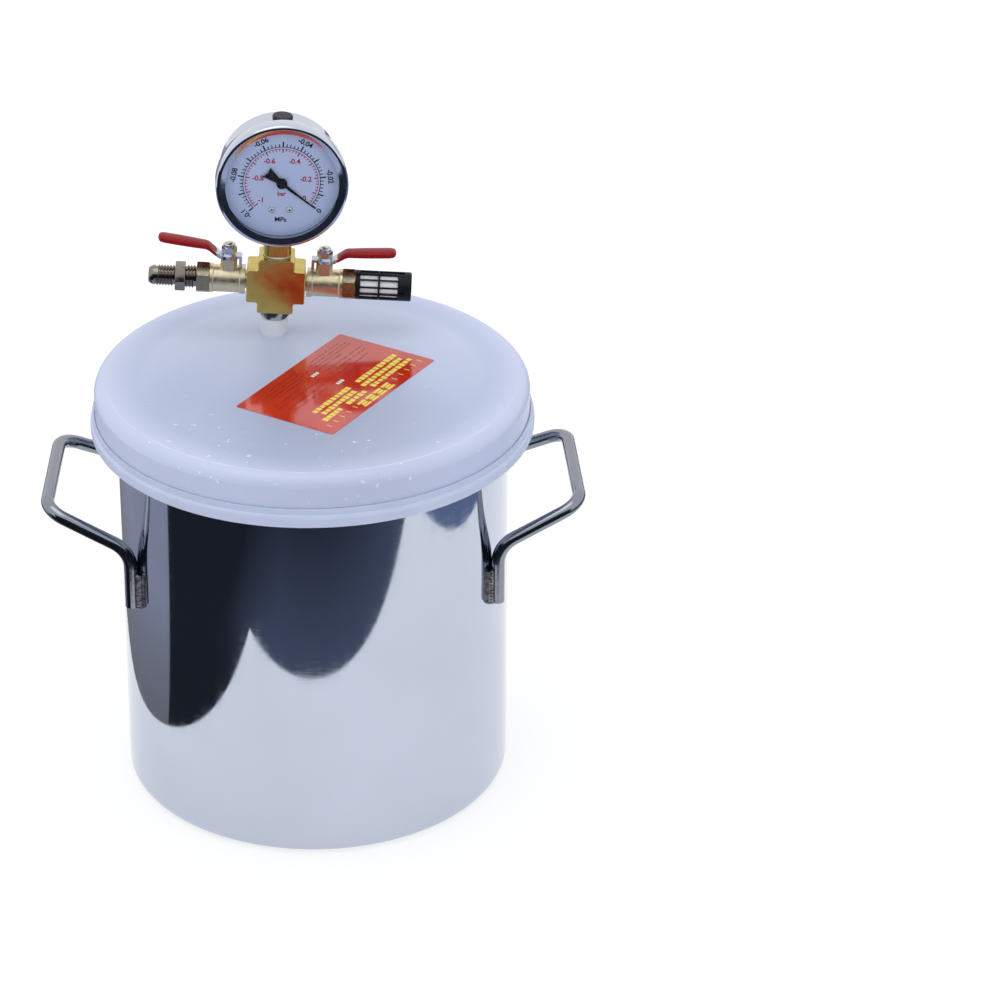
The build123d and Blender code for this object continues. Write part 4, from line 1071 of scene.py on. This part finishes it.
def dim_patch(name, colours, fades, place, size):
    """Dim panel that only mirrors show: one colour, and another past each fade."""
    material = bpy.data.materials.new(name)
    material.use_nodes = True
    tree = material.node_tree
    source = tree.nodes.new("ShaderNodeTexCoord")
    split = tree.nodes.new("ShaderNodeSeparateXYZ")
    tree.links.new(source.outputs["Object"], split.inputs["Vector"])
    glow = tree.nodes.new("ShaderNodeEmission")
    glow.inputs["Color"].default_value = (*colours[0], 1)
    last = None
    for colour, (axis, start, end) in zip(colours[1:], fades):
        spread = tree.nodes.new("ShaderNodeMapRange")
        spread.inputs["From Min"].default_value = start
        spread.inputs["From Max"].default_value = end
        tree.links.new(split.outputs[axis], spread.inputs["Value"])
        mix = tree.nodes.new("ShaderNodeMixRGB")
        mix.inputs["Color1"].default_value = (*colours[0], 1)
        if last is not None:
            tree.links.new(last, mix.inputs["Color1"])
        mix.inputs["Color2"].default_value = (*colour, 1)
        tree.links.new(spread.outputs["Result"], mix.inputs["Fac"])
        last = mix.outputs["Color"]
        tree.links.new(last, glow.inputs["Color"])
    tree.links.new(glow.outputs["Emission"], tree.nodes["Material Output"].inputs["Surface"])
    bm = bmesh.new()
    bmesh.ops.create_grid(
        bm, x_segments=1, y_segments=1, size=1.0,
        matrix=place @ Matrix.Diagonal((size[0] / 2, size[1] / 2, 1, 1)),
    )
    patch = stage_piece(name, bm, material)
    patch.visible_camera = False
    patch.visible_diffuse = False
    patch.visible_shadow = False
    patch.visible_transmission = False


def floor_patch(name, xs, ys, colours, fades):
    """Dim panel just over the floor."""
    middle = ((xs[0] + xs[1]) / 2, (ys[0] + ys[1]) / 2, 0.1 * MM)
    size = (xs[1] - xs[0], ys[1] - ys[0])
    dim_patch(name, colours, fades, Matrix.Translation(middle), size)


def make_surroundings():
    """Dim room round the table: navy in front, grey at the left."""
    leftward = ("X", -0.10, -0.24)
    floor_patch(
        "front_floor", (-ROOM, ROOM), (-ROOM, TABLE_FRONT), (HAZE, NAVY, BLACK),
        (("Y", TABLE_FRONT, TABLE_FRONT - 0.20), leftward),
    )
    floor_patch(
        "left_floor", (LEFT_WALL, TABLE_LEFT), (TABLE_FRONT, GREY_FROM), (HAZE, BLACK, BLACK),
        (("Y", TABLE_FRONT, TABLE_FRONT + 0.09), leftward),
    )
    floor_patch(
        "grey_floor", (LEFT_WALL, TABLE_LEFT), (GREY_FROM, ROOM), (NEAR_GREY, FAR_GREY),
        (("X", TABLE_LEFT, TABLE_LEFT - 0.14),),
    )
    floor_patch(
        "right_floor", (TABLE_RIGHT, ROOM), (TABLE_FRONT, ROOM), (NEAR_BLUE, FAR_BLUE),
        (("X", TABLE_RIGHT, 1.0),),
    )
    front = Matrix.Translation((0, FRONT_WALL, FRONT_WALL_HEIGHT / 2))
    front = front @ Matrix.Rotation(pi / 2, 4, "X")
    dim_patch("front_wall", (NAVY,), (), front, (2 * ROOM, FRONT_WALL_HEIGHT))


def make_sky(scene, strength):
    """Even light all round, white to the camera and to mirrors."""
    world = bpy.data.worlds.new("sky")
    scene.world = world
    world.use_nodes = True
    tree = world.node_tree
    background = tree.nodes["Background"]
    background.inputs["Color"].default_value = (0.96, 0.98, 1.0, 1)
    background.inputs["Strength"].default_value = strength
    white = tree.nodes.new("ShaderNodeBackground")
    white.inputs["Color"].default_value = (1, 1, 1, 1)
    mixed = seen_light(tree, background.outputs["Background"], white.outputs["Background"])
    tree.links.new(mixed, tree.nodes["World Output"].inputs["Surface"])


def add_lamp(name, place, target, size, power):
    """Soft square lamp that points at a target."""
    light = bpy.data.lights.new(name, "AREA")
    light.size = size
    light.energy = power
    lamp = bpy.data.objects.new(name, light)
    turn = (Vector(target) - Vector(place)).to_track_quat("-Z", "Y")
    lamp.matrix_world = Matrix.Translation(place) @ turn.to_matrix().to_4x4()
    bpy.context.scene.collection.objects.link(lamp)
    lamp.visible_camera = False


# ---------------------------------------------------------------- panel and registration

STEPS = (
    CHAMBER_OT_pot,
    CHAMBER_OT_handles,
    CHAMBER_OT_lid,
    CHAMBER_OT_manifold,
    CHAMBER_OT_valves,
    CHAMBER_OT_muffler,
    CHAMBER_OT_gauge,
    CHAMBER_OT_stage,
)


class CHAMBER_PT_steps(bpy.types.Panel):
    """Lists the chamber's settings and steps"""

    bl_label = "Vacuum chamber"
    bl_space_type = "VIEW_3D"
    bl_region_type = "UI"
    bl_category = "Chamber"

    def draw(self, context):
        for step in STEPS:
            self.layout.operator(step.bl_idname)
        for group in ("chamber_colours", "chamber_sizes", "chamber_stage"):
            settings = getattr(context.scene, group)
            column = self.layout.column()
            for key in settings.__annotations__:
                column.prop(settings, key)


CLASSES = (ChamberColours, ChamberSizes, ChamberStage, *STEPS, CHAMBER_PT_steps)


def register():
    for each in CLASSES:
        bpy.utils.register_class(each)
    bpy.types.Scene.chamber_colours = PointerProperty(type=ChamberColours)
    bpy.types.Scene.chamber_sizes = PointerProperty(type=ChamberSizes)
    bpy.types.Scene.chamber_stage = PointerProperty(type=ChamberStage)


def unregister():
    for group in ("chamber_colours", "chamber_sizes", "chamber_stage"):
        delattr(bpy.types.Scene, group)
    for each in reversed(CLASSES):
        bpy.utils.unregister_class(each)


def main():
    register()
    for step in STEPS:
        category, name = step.bl_idname.split(".")
        getattr(getattr(bpy.ops, category), name)()
    bpy.context.view_layer.update()


if __name__ == "__main__":
    main()
